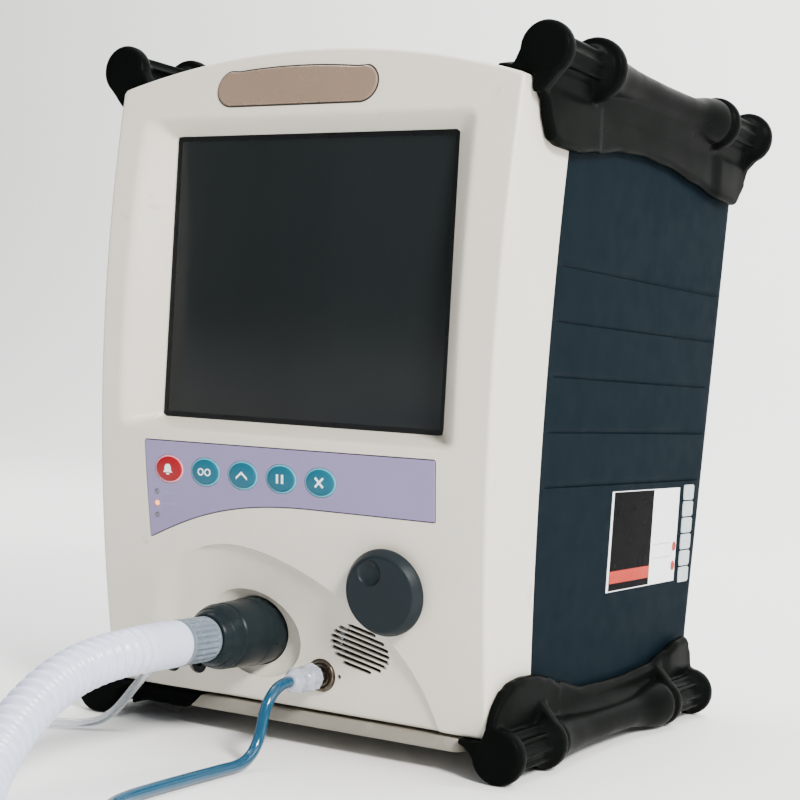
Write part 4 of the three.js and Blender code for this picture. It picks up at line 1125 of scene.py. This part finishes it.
def spool_part(x, z, discs):
    """Pairs of discs on ribbed hubs, with a waisted bar between the pairs."""
    half = DISC_LONG / 2
    parts = []
    for y in discs:
        r = DISC_SIZES.get(y, SPOOL_RADIUS)
        disc = [(0.01, y - half), (r, y - half), (r, y + half), (0.01, y + half)]
        parts.append(placed(turned(eased(disc, 2.6, 5), 56), (x, 0, z)))
    for near, far in (discs[:2], discs[2:]):
        hub = [(0.01, near), (SPOOL_HUB - 1.4, near), (SPOOL_HUB - 1.4, far), (0.01, far)]
        parts.append(placed(turned(hub, 40), (x, 0, z)))
        for y, way in ((near, 1), (far, -1)):
            flare = [(0.01, 0), (SPOOL_RADIUS - 1.2, half), (SPOOL_HUB - 0.9, half + 5)]
            flare = [(r, y + way * d) for r, d in [*flare, (0.01, half + 7)]]
            parts.append(placed(turned(flare, 40), (x, 0, z)))
        for rib in range(9):
            angle = 2 * math.pi * rib / 9
            c, s = math.cos(angle), math.sin(angle)
            blade = [(0, -0.9), (SPOOL_HUB + 0.5, -0.9), (SPOOL_HUB + 0.5, 0.9), (0, 0.9)]
            blade = [(x + u * c - v * s, z + u * s + v * c) for u, v in blade]
            parts.append(prism(blade, near + 2, far - 2))
    a, b = discs[1], discs[2]
    bar = [(0.01, a), (SPOOL_RADIUS - 1.0, a + half), (SPOOL_HUB + 0.6, a + 14)]
    bar += [(SPOOL_WAIST + 0.4, a + 40), (SPOOL_WAIST, (a + b) / 2 + 4)]
    bar += [(SPOOL_WAIST + 0.5, b - 34), (SPOOL_HUB + 2.2, b - 17)]
    bar += [(SPOOL_RADIUS + 0.2, b - half), (0.01, b)]
    parts.append(placed(turned(eased(bar, 9, 6), 48), (x, 0, z)))
    return parts


def saddle_part(edge_x, edge_z, up):
    """The strip that hugs the edge: a tail over the top, the corner and a skirt down the side."""
    rings = []
    skirt, end = (TOP_SKIRT, RUN_END[True]) if up > 0 else (LOW_SKIRT, RUN_END[False])
    spots = list(np.arange(-114.5, end + 0.1, 2.0)) + [-50.4, -49.6]
    for y in sorted(spots):
        along = y if y < 0 else y * 115 / end
        deep = curve_through(skirt, along)
        thick = curve_through(SKIRT_THICK, along)
        ends = min(float(step(along, -117, -108)), float(step(along, 118, 109)))
        tail = 7 + 12.5 * ends
        slope = 0.21 * (1 if up > 0 else 0)

        def wall(v):
            return half_width(edge_z + up * v) + 0.5 - edge_x

        outer = [
            (-tail, slope * tail + 0.5),
            (-tail + 0.6, slope * tail + 2.6),
            (-tail * 0.6, slope * tail * 0.6 + 3.4 * ends + 1.2),
            (-4.5, 5.6 * ends + 1.2),
            (-0.5, 6.2 * ends + 0.8),
            (3.2, 3.4 * ends + 0.6),
            (4.6, -1.5),
            (wall(-6) + thick - 0.6, -6),
            (wall(-deep * 0.55) + thick - 0.4, -max(deep * 0.55, 6.1)),
            (wall(-deep) + thick, -max(deep - 2.4, 6.3)),
            (wall(-deep) + thick - 1.2, -max(deep - 0.6, 6.6)),
            (wall(-deep) + thick * 0.45, -max(deep, 6.8)),
        ]
        inner = [
            (wall(-deep), -max(deep - 0.8, 6.4)),
            (wall(-deep * 0.5), -max(deep * 0.5, 4)),
            (0.7, -2),
            (0.55, 0.55),
            (-3, slope * 3 + 0.6),
            (-tail * 0.5, slope * tail * 0.5 + 0.5),
        ]
        rings.append([(edge_x + u, y, edge_z + up * v) for u, v in outer + inner])
    return loft(rings)


def prism_part(points, y0, y1, edge_x, edge_z, up):
    """A prism from points measured off the machine's edge."""
    return prism([(edge_x + u, edge_z + up * v) for u, v in points], y0, y1)


def web_parts(x, z, edge_x, edge_z, up, discs):
    """The webs between the spool and the saddle: thin along the bar, full at the end discs."""
    u, v = x - edge_x, up * (z - edge_z)
    half = DISC_LONG / 2
    bar = [(-5, 1.5), (u - 5.5, v + 2), (u + 4.5, v - 3), (3.9, -5)]
    bar += [(0.5, -5), (0.5, 0.6), (-3, 0.8)]
    parts = [prism_part(bar, discs[0], discs[3], edge_x, edge_z, up)]
    r = SPOOL_RADIUS - 0.6
    ends = (discs[0], discs[3])
    for y in ends if up > 0 else discs:
        drop = -7 if y in ends else -13
        plate = [(-10, 3.0), (u - r * 0.95, v + 2), (u - r * 0.5, v + r * 0.8)]
        plate += [(u + r * 0.97, v - 2), (u + r * 0.80, v - r * 0.62), (5.2, drop)]
        plate += [(0.5, drop), (0.5, 0.6), (-6, 1.4)]
        parts.append(prism_part(plate, y - half + 0.6, y + half - 0.6, edge_x, edge_z, up))
    return parts


def toe_part():
    """The tongue that laps under the sill at one end of the tray."""
    low = 8.3
    points = [(TOE_ROOT, 16.4), (TOE_ROOT, low - 3), (TOE_ROOT - 6, low)]
    points += [(TOE_END + 8, low), (TOE_END, 16.4)]
    return prism(points, CHIN_Y + 0.5, CHIN_Y + TOE_LONG)


def solid(name, *parts):
    """A helper object from millimetre parts, its faces turned outwards."""
    verts, faces = joined(*parts)
    mesh = bpy.data.meshes.new(name)
    mesh.from_pydata([tuple(v * MM) for v in verts], [], faces)
    reworked(mesh, face_out)
    return linked(name, mesh)


def bumper_mesh(top, toe=False):
    """A right-hand bumper for the top or the bottom edge, as a millimetre part."""
    x, z = (111.5, 307.0) if top else (107.5, 11.5)
    edge_x, edge_z = (SHOULDER_HALF, SHOULDER_Z) if top else (SILL_HALF, SILL_Z)
    up = 1 if top else -1
    discs = TOP_DISCS if top else LOW_DISCS
    parts = spool_part(x, z, discs)
    parts.append(saddle_part(edge_x, edge_z, up))
    parts += web_parts(x, z, edge_x, edge_z, up, discs)
    if toe:
        parts.append(toe_part())
    helper = solid("bumper", *parts)
    remesh = helper.modifiers.new("union", "REMESH")
    remesh.mode = "VOXEL"
    remesh.voxel_size = VOXEL * MM
    smooth = helper.modifiers.new("fillet", "SMOOTH")
    smooth.factor = 0.5
    smooth.iterations = 7
    applied(helper)
    cutter = cutter_for_bumper(top, toe)
    trim = helper.modifiers.new("trim", "BOOLEAN")
    trim.operation = "DIFFERENCE"
    trim.solver = "MANIFOLD"
    trim.object = cutter
    mesh = applied(helper)
    bpy.data.objects.remove(helper)
    bpy.data.objects.remove(cutter)
    return mesh


def cutter_for_bumper(top, toe):
    """The room that the case, the tray and the floor take."""
    parts = [prism(body_outline(-0.35, 3.0), -160, 160)]
    if not top:
        start = CHIN_Y + TOE_LONG + 0.2 if toe else -120
        plank = [(-88.6, 9.0), (88.6, 9.0), (88.6, 25.0), (-88.6, 25.0)]
        parts.append(prism(plank, start, 125))
        ground = [(20, -9), (150, -9), (150, 0), (20, 0)]
        parts.append(prism(ground, -160, 160))
    return solid("cutter", *parts)


def add_bumpers():
    """Four bumpers: the left ones mirror the right ones, but for the toe at the lower left."""
    for level in ("top", "bottom"):
        right = bumper_mesh(level == "top")
        left = right.copy() if level == "top" else bumper_mesh(False, toe=True)
        left.transform(Matrix.Scale(-1, 4, (1, 0, 0)))
        left.flip_normals()
        for side, mesh in (("right", right), ("left", left)):
            name = f"bumper_{level}_{side}"
            finished(name + "_rubber", mesh, RUBBER, 60, shows=name, slot="rubber")


# ---------------- case and tray

CASE_ROUND = 5.0
DOOR_Z = 162.0  # middle of the opening at the back
SIDE_X = 99.0  # outline points further out than this are on the side walls
STEP_LOW, STEP_PITCH, STEP_COUNT, STEP_DEEP, STEP_HIGH = 122.3, 24.5, 5, 0.9, 2.4


def case_outline():
    """The enclosure's outline, with a level for each step line on its sides."""
    base = body_outline(CASE_INSET, 3.0)
    levels = []
    for i in range(STEP_COUNT):
        z = STEP_LOW + STEP_PITCH * i
        levels += [z - 0.15, z, z + STEP_HIGH * 0.5, z + STEP_HIGH]
    out = []
    for p, q in zip(base, np.roll(base, -1, axis=0)):
        out.append(tuple(p))
        if min(abs(p[0]), abs(q[0])) > SIDE_X and abs(q[1] - p[1]) > 0.5:
            between = [z for z in levels if min(p[1], q[1]) < z < max(p[1], q[1])]
            for z in sorted(between, reverse=bool(q[1] < p[1])):
                out.append((mix(p[0], q[0], (z - p[1]) / (q[1] - p[1])), z))
    return np.array(out)


def step_cut(p):
    """How deep a step line cuts the side wall at each outline point."""
    depth = np.zeros(len(p))
    for i in range(STEP_COUNT):
        rise = p[:, 1] - (STEP_LOW + STEP_PITCH * i)
        within = (rise >= -0.01) & (rise <= STEP_HIGH)
        depth = np.maximum(depth, np.where(within, STEP_DEEP * (1 - rise / STEP_HIGH), 0))
    return np.where(np.abs(p[:, 0]) > SIDE_X, depth, 0)


def rim_y(z):
    """Where the rear rim ends at a height."""
    return REAR_Y + RIM_SLOPE * np.maximum(0, z - RIM_LOW)


def add_case():
    """The enclosure: a skin from the seam to the rear rim, round the opening for the back panel."""
    base = case_outline()
    cut = step_cut(base)
    rect = round_rect(-92, 92, 36, 288, 8, 1.0)
    rect = rect[np.argsort(np.arctan2(rect[:, 1] - DOOR_Z, rect[:, 0]))]
    at, known = (np.arctan2(p[:, 1] - DOOR_Z, p[:, 0]) for p in (base, rect))
    door = np.stack([np.interp(at, known, rect[:, k], period=2 * math.pi) for k in (0, 1)], axis=1)

    def ring(inset, grooved, y):
        shape = offset(base, inset)
        shape[:, 0] -= np.sign(shape[:, 0]) * cut * grooved
        return standing(shape, y)

    seam = seam_y(base[:, 1]) + 0.3
    rear = rim_y(base[:, 1])
    rings = [ring(0, 0, seam), ring(0, 0, seam + 6), ring(0, 1, seam + 10)]
    rings += [ring(0, 1, 20.0), ring(0, 1, rear - 12), ring(0, 0, rear - 8)]
    for angle in np.radians((0, 22, 45, 68, 90)):
        inset = CASE_ROUND * (1 - math.cos(angle))
        rings.append(ring(inset, 0, rear - CASE_ROUND + CASE_ROUND * math.sin(angle)))
    rings += [standing(door, rim_y(door[:, 1])), standing(door, REAR_Y - 7.5)]
    rings += [ring(WALL, 0, REAR_Y - 8), ring(WALL, 0, seam + 1)]
    shell = loft(rings, looped=True)
    made("case_shell", *shell, CASE, 30, shows="rear_enclosure", slot="case_paint")


# ---------------- front trim


def face_plate(name, outline, low, high, material, rounding, shows=(), slot=None, holes=()):
    """A plate that follows the bowed face, from low to high in front of it, with a rounded edge."""
    rails = rails_of(outline, (rounding * 0.3, rounding, rounding + 0.5))
    flat, tris = triangulated(outline, list(holes), rails, 5.0, 1.0)
    s = distances(flat, outline)
    near = np.clip(rounding - s, 0, rounding)
    drop = rounding - np.sqrt(np.maximum(rounding**2 - near**2, 0))
    plain = front_y(flat[:, 1])
    front, back = standing(flat, plain - high + drop), standing(flat, plain - low)
    count = len(flat)
    faces = [tuple(t) for t in tris] + [tuple(t[::-1] + count) for t in tris]
    faces += [(b, a, a + count, b + count) for a, b in boundary_edges(tris)]
    return made(name, np.vstack([front, back]), faces, material, 40, shows=shows, slot=slot)


def add_nameplate():
    """A blank plate in a thin dark surround, which paints the shade of the groove round the plate.
    """
    # The dark ring is painted shade: it stands in for the shadowed groove round the plate.
    face_plate("nameplate_groove_shade", name_outline(-0.7), -0.6, 0.16, PAINTED_SHADE, 0.1)
    blank = ("nameplate_blank", name_outline(), -0.4, 1.1, NAMEPLATE, 0.7)
    face_plate(*blank, "nameplate", "nameplate_plastic")


def add_overlay():
    """The keypad film over a dark sheet that paints the shade in the gap round the film, both with
    a hole for each key.
    """
    wide, high = (half + 0.95 for half in KEY_HALF)
    holes = [ellipse(KEY_FIRST + KEY_PITCH * i, KEY_Z, wide, high, 48) for i in range(5)]
    # A dark sheet under the film's edge: painted shade in the gap between the film and its pocket.
    face_plate("keypad_gap_shade", offset(OVERLAY, -0.05), -1.4, -0.5, PAINTED_SHADE, 0.1, holes=holes)
    film = ("keypad_film", offset(OVERLAY, 0.55), -0.7, 0.12, FILM, 0.25)
    face_plate(*film, "keypad_overlay", "overlay_film", holes)


KEY_NAMES = ("alarm_silence_key", "oxygen_key", "manual_breath_key", "hold_key", "clear_key")
KEY_HALF = (7.4, 5.7)
CAP_TOP, CAP_CROWN = 0.55, 0.75  # how far a key's edge stands off the face, and its dome off that


def dome(x, z, wide, high, base, top, crown, count=56, levels=7):
    """A low domed button standing off the bowed face."""
    rings = []
    profile = [(1.0, base), (1.0, top - 0.25), (0.985, top - 0.08), (0.95, top)]
    for a in np.linspace(0.2, 1.5, levels):
        profile.append((0.95 * math.cos(a), top + crown * math.sin(a)))
    for share, out in profile:
        edge = ellipse(0, 0, wide * share, high * share, count)
        rings.append([(x + u, front_y(z + v) - out, z + v) for u, v in edge])
    return loft(rings)


def symbol(name):
    """Outlines of a plain sign for each key, round its centre."""
    if name == "alarm_silence_key":
        right = [(2.6, -1.6), (1.9, -0.8), (1.7, 1.0), (0.9, 2.2)]
        bell = [(-2.6, -1.6), *right, *[(-u, v) for u, v in right[:0:-1]]]
        return [bell, [(-0.8, -2.6), (0.8, -2.6), (0.8, -2.0), (-0.8, -2.0)]]
    if name == "oxygen_key":
        bars = []
        for x in (-1.9, 1.9):
            outer, inner = circle(x, 0, 1.7, 23), circle(x, 0, 1.1, 23)
            bars += [[outer[i], outer[i - 22], inner[i - 22], inner[i]] for i in range(23)]
        return bars
    if name == "manual_breath_key":
        chevron = [(-3, -1.9), (0, 0.7), (3, -1.9), (3, -0.8), (0, 1.8), (-3, -0.8)]
        return [chevron[:2] + chevron[4:], chevron[1:5]]
    if name == "hold_key":
        return [[(u, -2), (u + 1.1, -2), (u + 1.1, 2), (u, 2)] for u in (-1.9, 0.8)]
    bar = [(-2.4, -1.7), (-1.7, -2.4), (2.4, 1.7), (1.7, 2.4)]
    return [bar, [(-u, v) for u, v in bar[::-1]]]


def add_keys():
    """Each key is a rim, a cap and a sign that ride on its own body."""
    wide, high = KEY_HALF
    for i, name in enumerate(KEY_NAMES):
        x = KEY_FIRST + KEY_PITCH * i
        slot = "key_teal" if i else "key_red"
        rim_paint, cap_paint = (KEY_RIM_TEAL, KEY_TEAL) if i else (KEY_RIM_RED, KEY_RED)
        rim = dome(x, KEY_Z, wide + 0.7, high + 0.7, -3.0, 0.3, 0.05)
        cap = dome(x, KEY_Z, wide, high, -1.0, CAP_TOP, CAP_CROWN)
        made(name + "_rim", *rim, rim_paint, 40, name, slot=slot)
        made(name + "_cap", *cap, cap_paint, 50, name, name, slot)

        def on_cap(u, v, lift):
            share = math.hypot(u / wide, v / high)
            crown = CAP_TOP + CAP_CROWN * math.sqrt(max(0.0, 1 - share**2))
            return (x + u, front_y(KEY_Z + v) - crown + 0.15 - 0.24 * lift, KEY_Z + v)

        signs = []
        for shape in symbol(name):
            signs.append(loft([[on_cap(u, v, lift) for u, v in shape] for lift in (0, 1)]))
        made(name + "_sign", *joined(*signs), PRINT_WHITE, 40, name)


def bar_on_face(x0, x1, z0, z1, low, high):
    """A small bar that stands from low to high in front of the bowed face."""
    rings = []
    for out in (low, high):
        corners = ((x0, z0), (x1, z0), (x1, z1), (x0, z1))
        rings.append([(x, front_y(z) - out, z) for x, z in corners])
    return loft(rings)


def add_lamps():
    """Three lamps, the middle one lit, with blank bars for their captions."""
    lamps = {"mains_lamp": 7.0, "external_supply_lamp": 8.5, "battery_lamp": 4.0}
    dashes = []
    for i, (name, caption) in enumerate(lamps.items()):
        z = LAMP_FIRST - LAMP_PITCH * i
        lens = dome(LAMP_X, z, 1.25, 1.25, -1.0, 0.3, 0.45, 20, 4)
        lit = name == "external_supply_lamp"
        slot = "lamp_orange" if lit else "lamp_grey"
        made(name + "_lens", *lens, LAMP_LIT if lit else LAMP_OFF, 50, shows=name, slot=slot)
        start = LAMP_X + 4.0
        for share in (0.5, 0.36):
            long = caption * share
            dashes.append(bar_on_face(start, start + long, z - 0.6, z + 0.6, 0.05, 0.2))
            start += long + 0.8
    made("lamp_captions", *joined(*dashes), PRINT_GREY, 40)


# ---------------- knob, adapter and ports


def add_knob():
    """A low disc with a slanted rim and a thumb dimple in its flat face."""
    front, flat_radius = -8.3, 16.5
    r = KNOB_RADIUS
    profile = [(r - 1.2, -1.3), (r, -3.2), (r + 0.02, -3.7), (r - 0.1, -4.3), (r - 0.5, -5.1)]
    edge = ((0.5, 0.8), (0.1, 0.3), (-0.5, 0.05), (-1.0, 0))
    profile += [(flat_radius + d, front + rise) for d, rise in edge]
    rings = [standing(circle(0, 0, q, 120), y) for q, y in profile]
    verts, faces = loft(rings, capped=False)
    disc = circle(0, 0, flat_radius - 1.0, 120)
    cx, cz, reach, sunk = -4.9, 9.2, 5.9, 2.1
    shares = (0.45, 0.7, 0.85, 0.94, 0.985, 1.0, 1.03)
    rails = [(circle(cx, cz, reach * share, 64), True) for share in shares]
    flat, tris = triangulated(disc, [], rails, 2.2, 0.3)
    share = np.hypot(flat[:, 0] - cx, flat[:, 1] - cz) / reach
    dip = sunk * np.sqrt(np.clip(1 - share**2, 0, 1)) ** 1.2
    top = (standing(flat, front + dip), [tuple(t) for t in tris])
    cap = (rings[0], [tuple(range(120))])
    part = joined((verts, faces), top, cap)
    at = (KNOB_X, float(front_y(KNOB_Z)), KNOB_Z)
    part = placed(part, at, tilt=front_lean(KNOB_Z))
    made("knob_grip", *part, SLATE, 30, body="knob", shows="control_knob", slot="knob_slate")


def add_adapter():
    """The dark outlet collar, with a groove before its nose."""
    profile = [(9.2, -102), (15.5, -102), (15.5, -117), (15.2, -118.5), (14.9, -128)]
    profile += [(14.6, -134.6), (13.7, -135.6), (13.7, -136.1), (14.6, -137.0)]
    profile += [(14.5, -138.2), (13.7, -140.9)]
    profile += [(12.9, -142.6), (12.5, -142.8), (12.4, -143.3), (11.4, -145.6)]
    profile += [(10.4, -REACH), (9.2, -REACH)]
    part = placed(lathe(profile, 0.7, 3, 96), (OUTLET_X, 0, OUTLET_Z))
    made("outlet_adapter", *part, ADAPTER, 45, shows="port_adapter", slot="adapter_slate")


def add_gas_port():
    """The turned metal port for the blue line, in front of its seat in the bezel."""
    face = front_y(GAS_Z) + 2
    profile = [(2, 22), (5, 22), (5, 8), (7.2, 8), (7.2, 0.2), (6.7, -0.4), (5.6, -0.4)]
    profile += [(5.2, 0.5), (3.9, 0.5), (3.7, -3.6), (3.3, -4.0), (2, -4.0)]
    part = placed(lathe(profile, 0.35, 2, 64), (GAS_X, face, GAS_Z))
    made("gas_port", *part, BRONZE, 40, shows="nebulizer_port", slot="bronze")


def add_screen():
    """The glass, and the dark border printed round its edge."""
    softened("touch_panel", SCREEN, 0.4)
    left, right, low, high = WINDOW
    parts = []
    wide = 2.4
    frames = (
        (left - 1, left + wide, low - 1, high + 1),
        (right - wide, right + 1, low - 1, high + 1),
        (left + wide, right - wide, low - 1, low + wide),
        (left + wide, right - wide, high - wide, high + 1),
    )
    for x0, x1, z0, z1 in frames:
        corners = ((x0, z0), (x1, z0), (x1, z1), (x0, z1))
        parts.append(prism(corners, GLASS_Y - 0.06, GLASS_Y + 0.2))
    made("screen_border", *joined(*parts), SCREEN_EDGE, 40)


def add_pin_well():
    """A dark plug in the small hole beside the gas port: painted shade inside the hole."""
    x, z = PIN_HOLE
    face = front_y(z)
    plug = [(0.01, face + 6), (1.6, face + 6), (1.6, face + 8), (0.01, face + 8)]
    part = placed(turned(plug, 20), (x, 0, z))
    # Dark plug: painted shade deep in the hole.
    made("pin_well", *part, PAINTED_SHADE, 40)


# ---------------- labels on the right side wall


def wall_tile(y0, y1, z0, z1, low, high, rounding=0.0):
    """A flat tile on the sloping right wall: spans along Y, in height, and off the wall."""
    outline = [(y0, z0), (y1, z0), (y1, z1), (y0, z1)]
    if rounding:
        outline = round_rect(y0, y1, z0, z1, rounding)
    rise = [out - CASE_INSET for out in (low, high)]
    return loft([[(half_width(z) + out, y, z) for y, z in outline] for out in rise])


def add_labels():
    base = wall_tile(5, 92, 70.5, 119, 0.05, 0.3)
    made("service_label_base", *base, LABEL_WHITE, 40, shows="service_label")
    made("service_label_panel", *wall_tile(7.2, 57, 71, 118.6, 0.3, 0.4), LABEL_BLACK, 40)
    made("service_label_strip", *wall_tile(7.2, 57, 74.5, 80.5, 0.38, 0.46), LABEL_ORANGE, 40)
    dots = [wall_tile(86.5, 91.5, z, z + 5, 0.3, 0.42, 2.0) for z in (76, 86)]
    made("service_label_dots", *joined(*dots), LABEL_ORANGE, 40)
    lines = [wall_tile(60, 84, z, z + 0.5, 0.3, 0.36) for z in (83.5, 90.5)]
    made("service_label_rules", *joined(*lines), LABEL_GREY, 40)
    lows = [69 + i * 8.65 for i in range(6)]
    cells = joined(*[wall_tile(98, 112, low, low + 7.9, 0.05, 0.45, 0.8) for low in lows])
    made("rating_label_cells", *cells, LABEL_GREY, 40, shows="rating_label", slot="label_grey")


# ---------------- rear and inside


# material, width of the rounding in mm, segments
SOFTENED = {
    "base_tray": (SHADED_TRAY, 1.0, 3),
    "back_panel": (PANEL, 0.6, 2),
    "filter_cover": (DARK_GREY, 0.7, 2),
    "filter_foam": (FOAM, 0.4, 1),
    "fan_frame": (BLACK, 0.6, 2),
    "fan_rotor": (BLACK, 0.4, 2),
    "mains_inlet": (BLACK, 0.6, 2),
    "power_switch_frame": (BLACK, 0.5, 2),
    "power_rocker": (DARK_GREY, 0.4, 2),
    "data_ports": (SHEET_METAL, 0.4, 2),
    "sensor_ports": (DARK_GREY, 0.3, 1),
}
SCREWS = {3.4: [(x, z) for z in (44, 162, 280) for x in (-84, 84)]}  # head radius and places
SCREWS[2.6] = [(FAN_X + x, FAN_Z + z) for z in (-36.5, 36.5) for x in (-36.5, 36.5)]


def add_rear():
    """The tray and the parts on the back, with screws and a fan guard."""
    for node, (material, width, segments) in SOFTENED.items():
        softened(node, material, width, segments)
    nut = [(4, REAR_Y), (11, REAR_Y), (11, REAR_Y + 7), (4, REAR_Y + 7)]
    stem = [(4, REAR_Y - 18), (8, REAR_Y - 18), (8, REAR_Y + 9)]
    for i in range(4):
        y = REAR_Y + 10 + 3.6 * i
        stem += [(8, y), (7.5, y + 0.5), (7.5, y + 2.4), (8, y + 2.9)]
    stem += [(8, REACH - 1), (7, REACH), (4, REACH)]
    part = joined(turned(nut, 6, closed=True), turned(stem, 48, closed=True))
    part = placed(part, (OXYGEN_X, 0, OXYGEN_Z))
    made("oxygen_stem", *part, STEEL, 35, shows="oxygen_inlet", slot="steel")
    screws = []
    for radius, places in SCREWS.items():
        screws += [screw_part(x, REAR_Y - 0.3, z, radius) for x, z in places]
    made("panel_screws", *joined(*screws), STEEL, 35)
    centre, level = np.array([FAN_X, FAN_Z]), REAR_Y + 0.8
    guard = []
    for radius in (10, 18, 26, 34):
        ring = circle(*centre, radius, 72)
        guard.append(swept(standing(np.vstack([ring, ring[:1]]), level), [0.8] * 73, 8))
    for ahead in circle(0, 0, 1, 8)[1::2]:
        arm = centre + np.linspace(8, 42, 12)[:, None] * ahead
        guard.append(swept(standing(arm, level), [0.9] * 12, 8))
    made("fan_guard", *joined(*guard), STEEL, 60)


def screw_part(x, y, z, radius):
    """A pan-head screw with a cross recess, facing +Y."""
    head = [(0.01, y + 1.5), (radius * 0.5, y + 1.4), (radius * 0.9, y + 0.9)]
    parts = [placed(turned([*head, (radius, y), (0.01, y - 0.5)], 28), (x, 0, z))]
    long, thin = radius * 0.55, 0.35
    for wide, high in ((thin, long), (long, thin)):
        corners = ((-wide, -high), (wide, -high), (wide, high), (-wide, high))
        parts.append(prism([(x + u, z + v) for u, v in corners], y + 1.2, y + 1.62))
    return joined(*parts)


def add_inside():
    """Materials for the CAD nodes that are shown as they are."""
    materials = {
        "lcd_module": SHEET_METAL,
        "keypad_board": BOARD,
        "encoder_shaft": STEEL,
        "encoder_sleeve": BRASS,
        "encoder_body": BLACK,
        "speaker_frame": SHEET_METAL,
        "speaker_cone": PAPER,
        "outlet_tube": DUCT,
        "chassis": SHEET_METAL,
        "blower_housing": BLACK,
        "blower_impeller": PALE,
        "mixing_valve": SHEET_METAL,
        "battery_pack": DARK_GREY,
        "power_supply": SHEET_METAL,
        "main_board": BOARD,
    }
    for name, material in materials.items():
        coated(NODES[name].data, material, 30)


# ---------------- floor and light


def add_floor():
    """A pale sweep: a floor that curves up into a wall far behind the machine."""
    wide, front, back, bend, tall = 7.0, -5.0, 2.6, 1.0, 3.6
    profile = [(front, 0.0), (back - bend, 0.0)]
    for a in np.radians(np.linspace(10, 90, 9)):
        profile.append((back - bend + bend * math.sin(a), bend - bend * math.cos(a)))
    profile.append((back, tall))
    verts = [(x, y, z) for y, z in profile for x in (-wide, wide)]
    faces = [(2 * i, 2 * i + 1, 2 * i + 3, 2 * i + 2) for i in range(len(profile) - 1)]
    mesh = bpy.data.meshes.new("floor")
    mesh.from_pydata(verts, [], faces)
    mesh.polygons.foreach_set("use_smooth", [True] * len(faces))
    mesh.materials.append(surface("floor_pale", 0xF4F4F2, 0.6, (2, 0.01), grain=(60, 0.03)))
    floor = linked("floor", mesh)
    floor.location.z = -0.0005
    floor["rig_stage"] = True


def add_light(name, at, target, size, power, color):
    data = bpy.data.lights.new(name, "AREA")
    data.shape = "RECTANGLE"
    data.size, data.size_y = size
    data.energy = power
    data.color = color
    lamp = linked(name, data)
    lamp.location = at
    lamp.rotation_euler = (Vector(target) - Vector(at)).to_track_quat("-Z", "Y").to_euler()


def add_lights():
    world = bpy.data.worlds.new("studio")
    world.use_nodes = True
    background = next(n for n in world.node_tree.nodes if n.type == "BACKGROUND")
    background.inputs["Color"].default_value = (0.96, 0.98, 1.0, 1)
    background.inputs["Strength"].default_value = 0.5
    bpy.context.scene.world = world
    middle = (0, 0, 0.16)
    add_light("key", (1.5, -1.05, 1.25), middle, (0.42, 0.42), 96, (1.0, 0.975, 0.94))
    add_light("side", (1.7, 0.3, 0.9), middle, (0.9, 0.9), 14, (0.95, 0.98, 1.0))
    add_light("over", (-0.1, 0.0, 1.9), middle, (1.4, 1.4), 12, (0.95, 0.98, 1.0))
    add_light("wall", (0, 0.6, 2.4), (-0.9, 2.6, 0.6), (3.0, 0.8), 190, (1.0, 1.0, 1.0))


add_camera()
add_hose()
add_lines()
add_bezel()
add_bumpers()
add_case()
add_nameplate()
add_overlay()
add_keys()
add_lamps()
add_knob()
add_adapter()
add_gas_port()
add_screen()
add_pin_well()
add_labels()
add_rear()
add_inside()
add_floor()
add_lights()

boxes = {"cad": CAD_BOX, "visual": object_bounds()}
{key: [list(map(float, corner)) for corner in box] for key, box in boxes.items()}
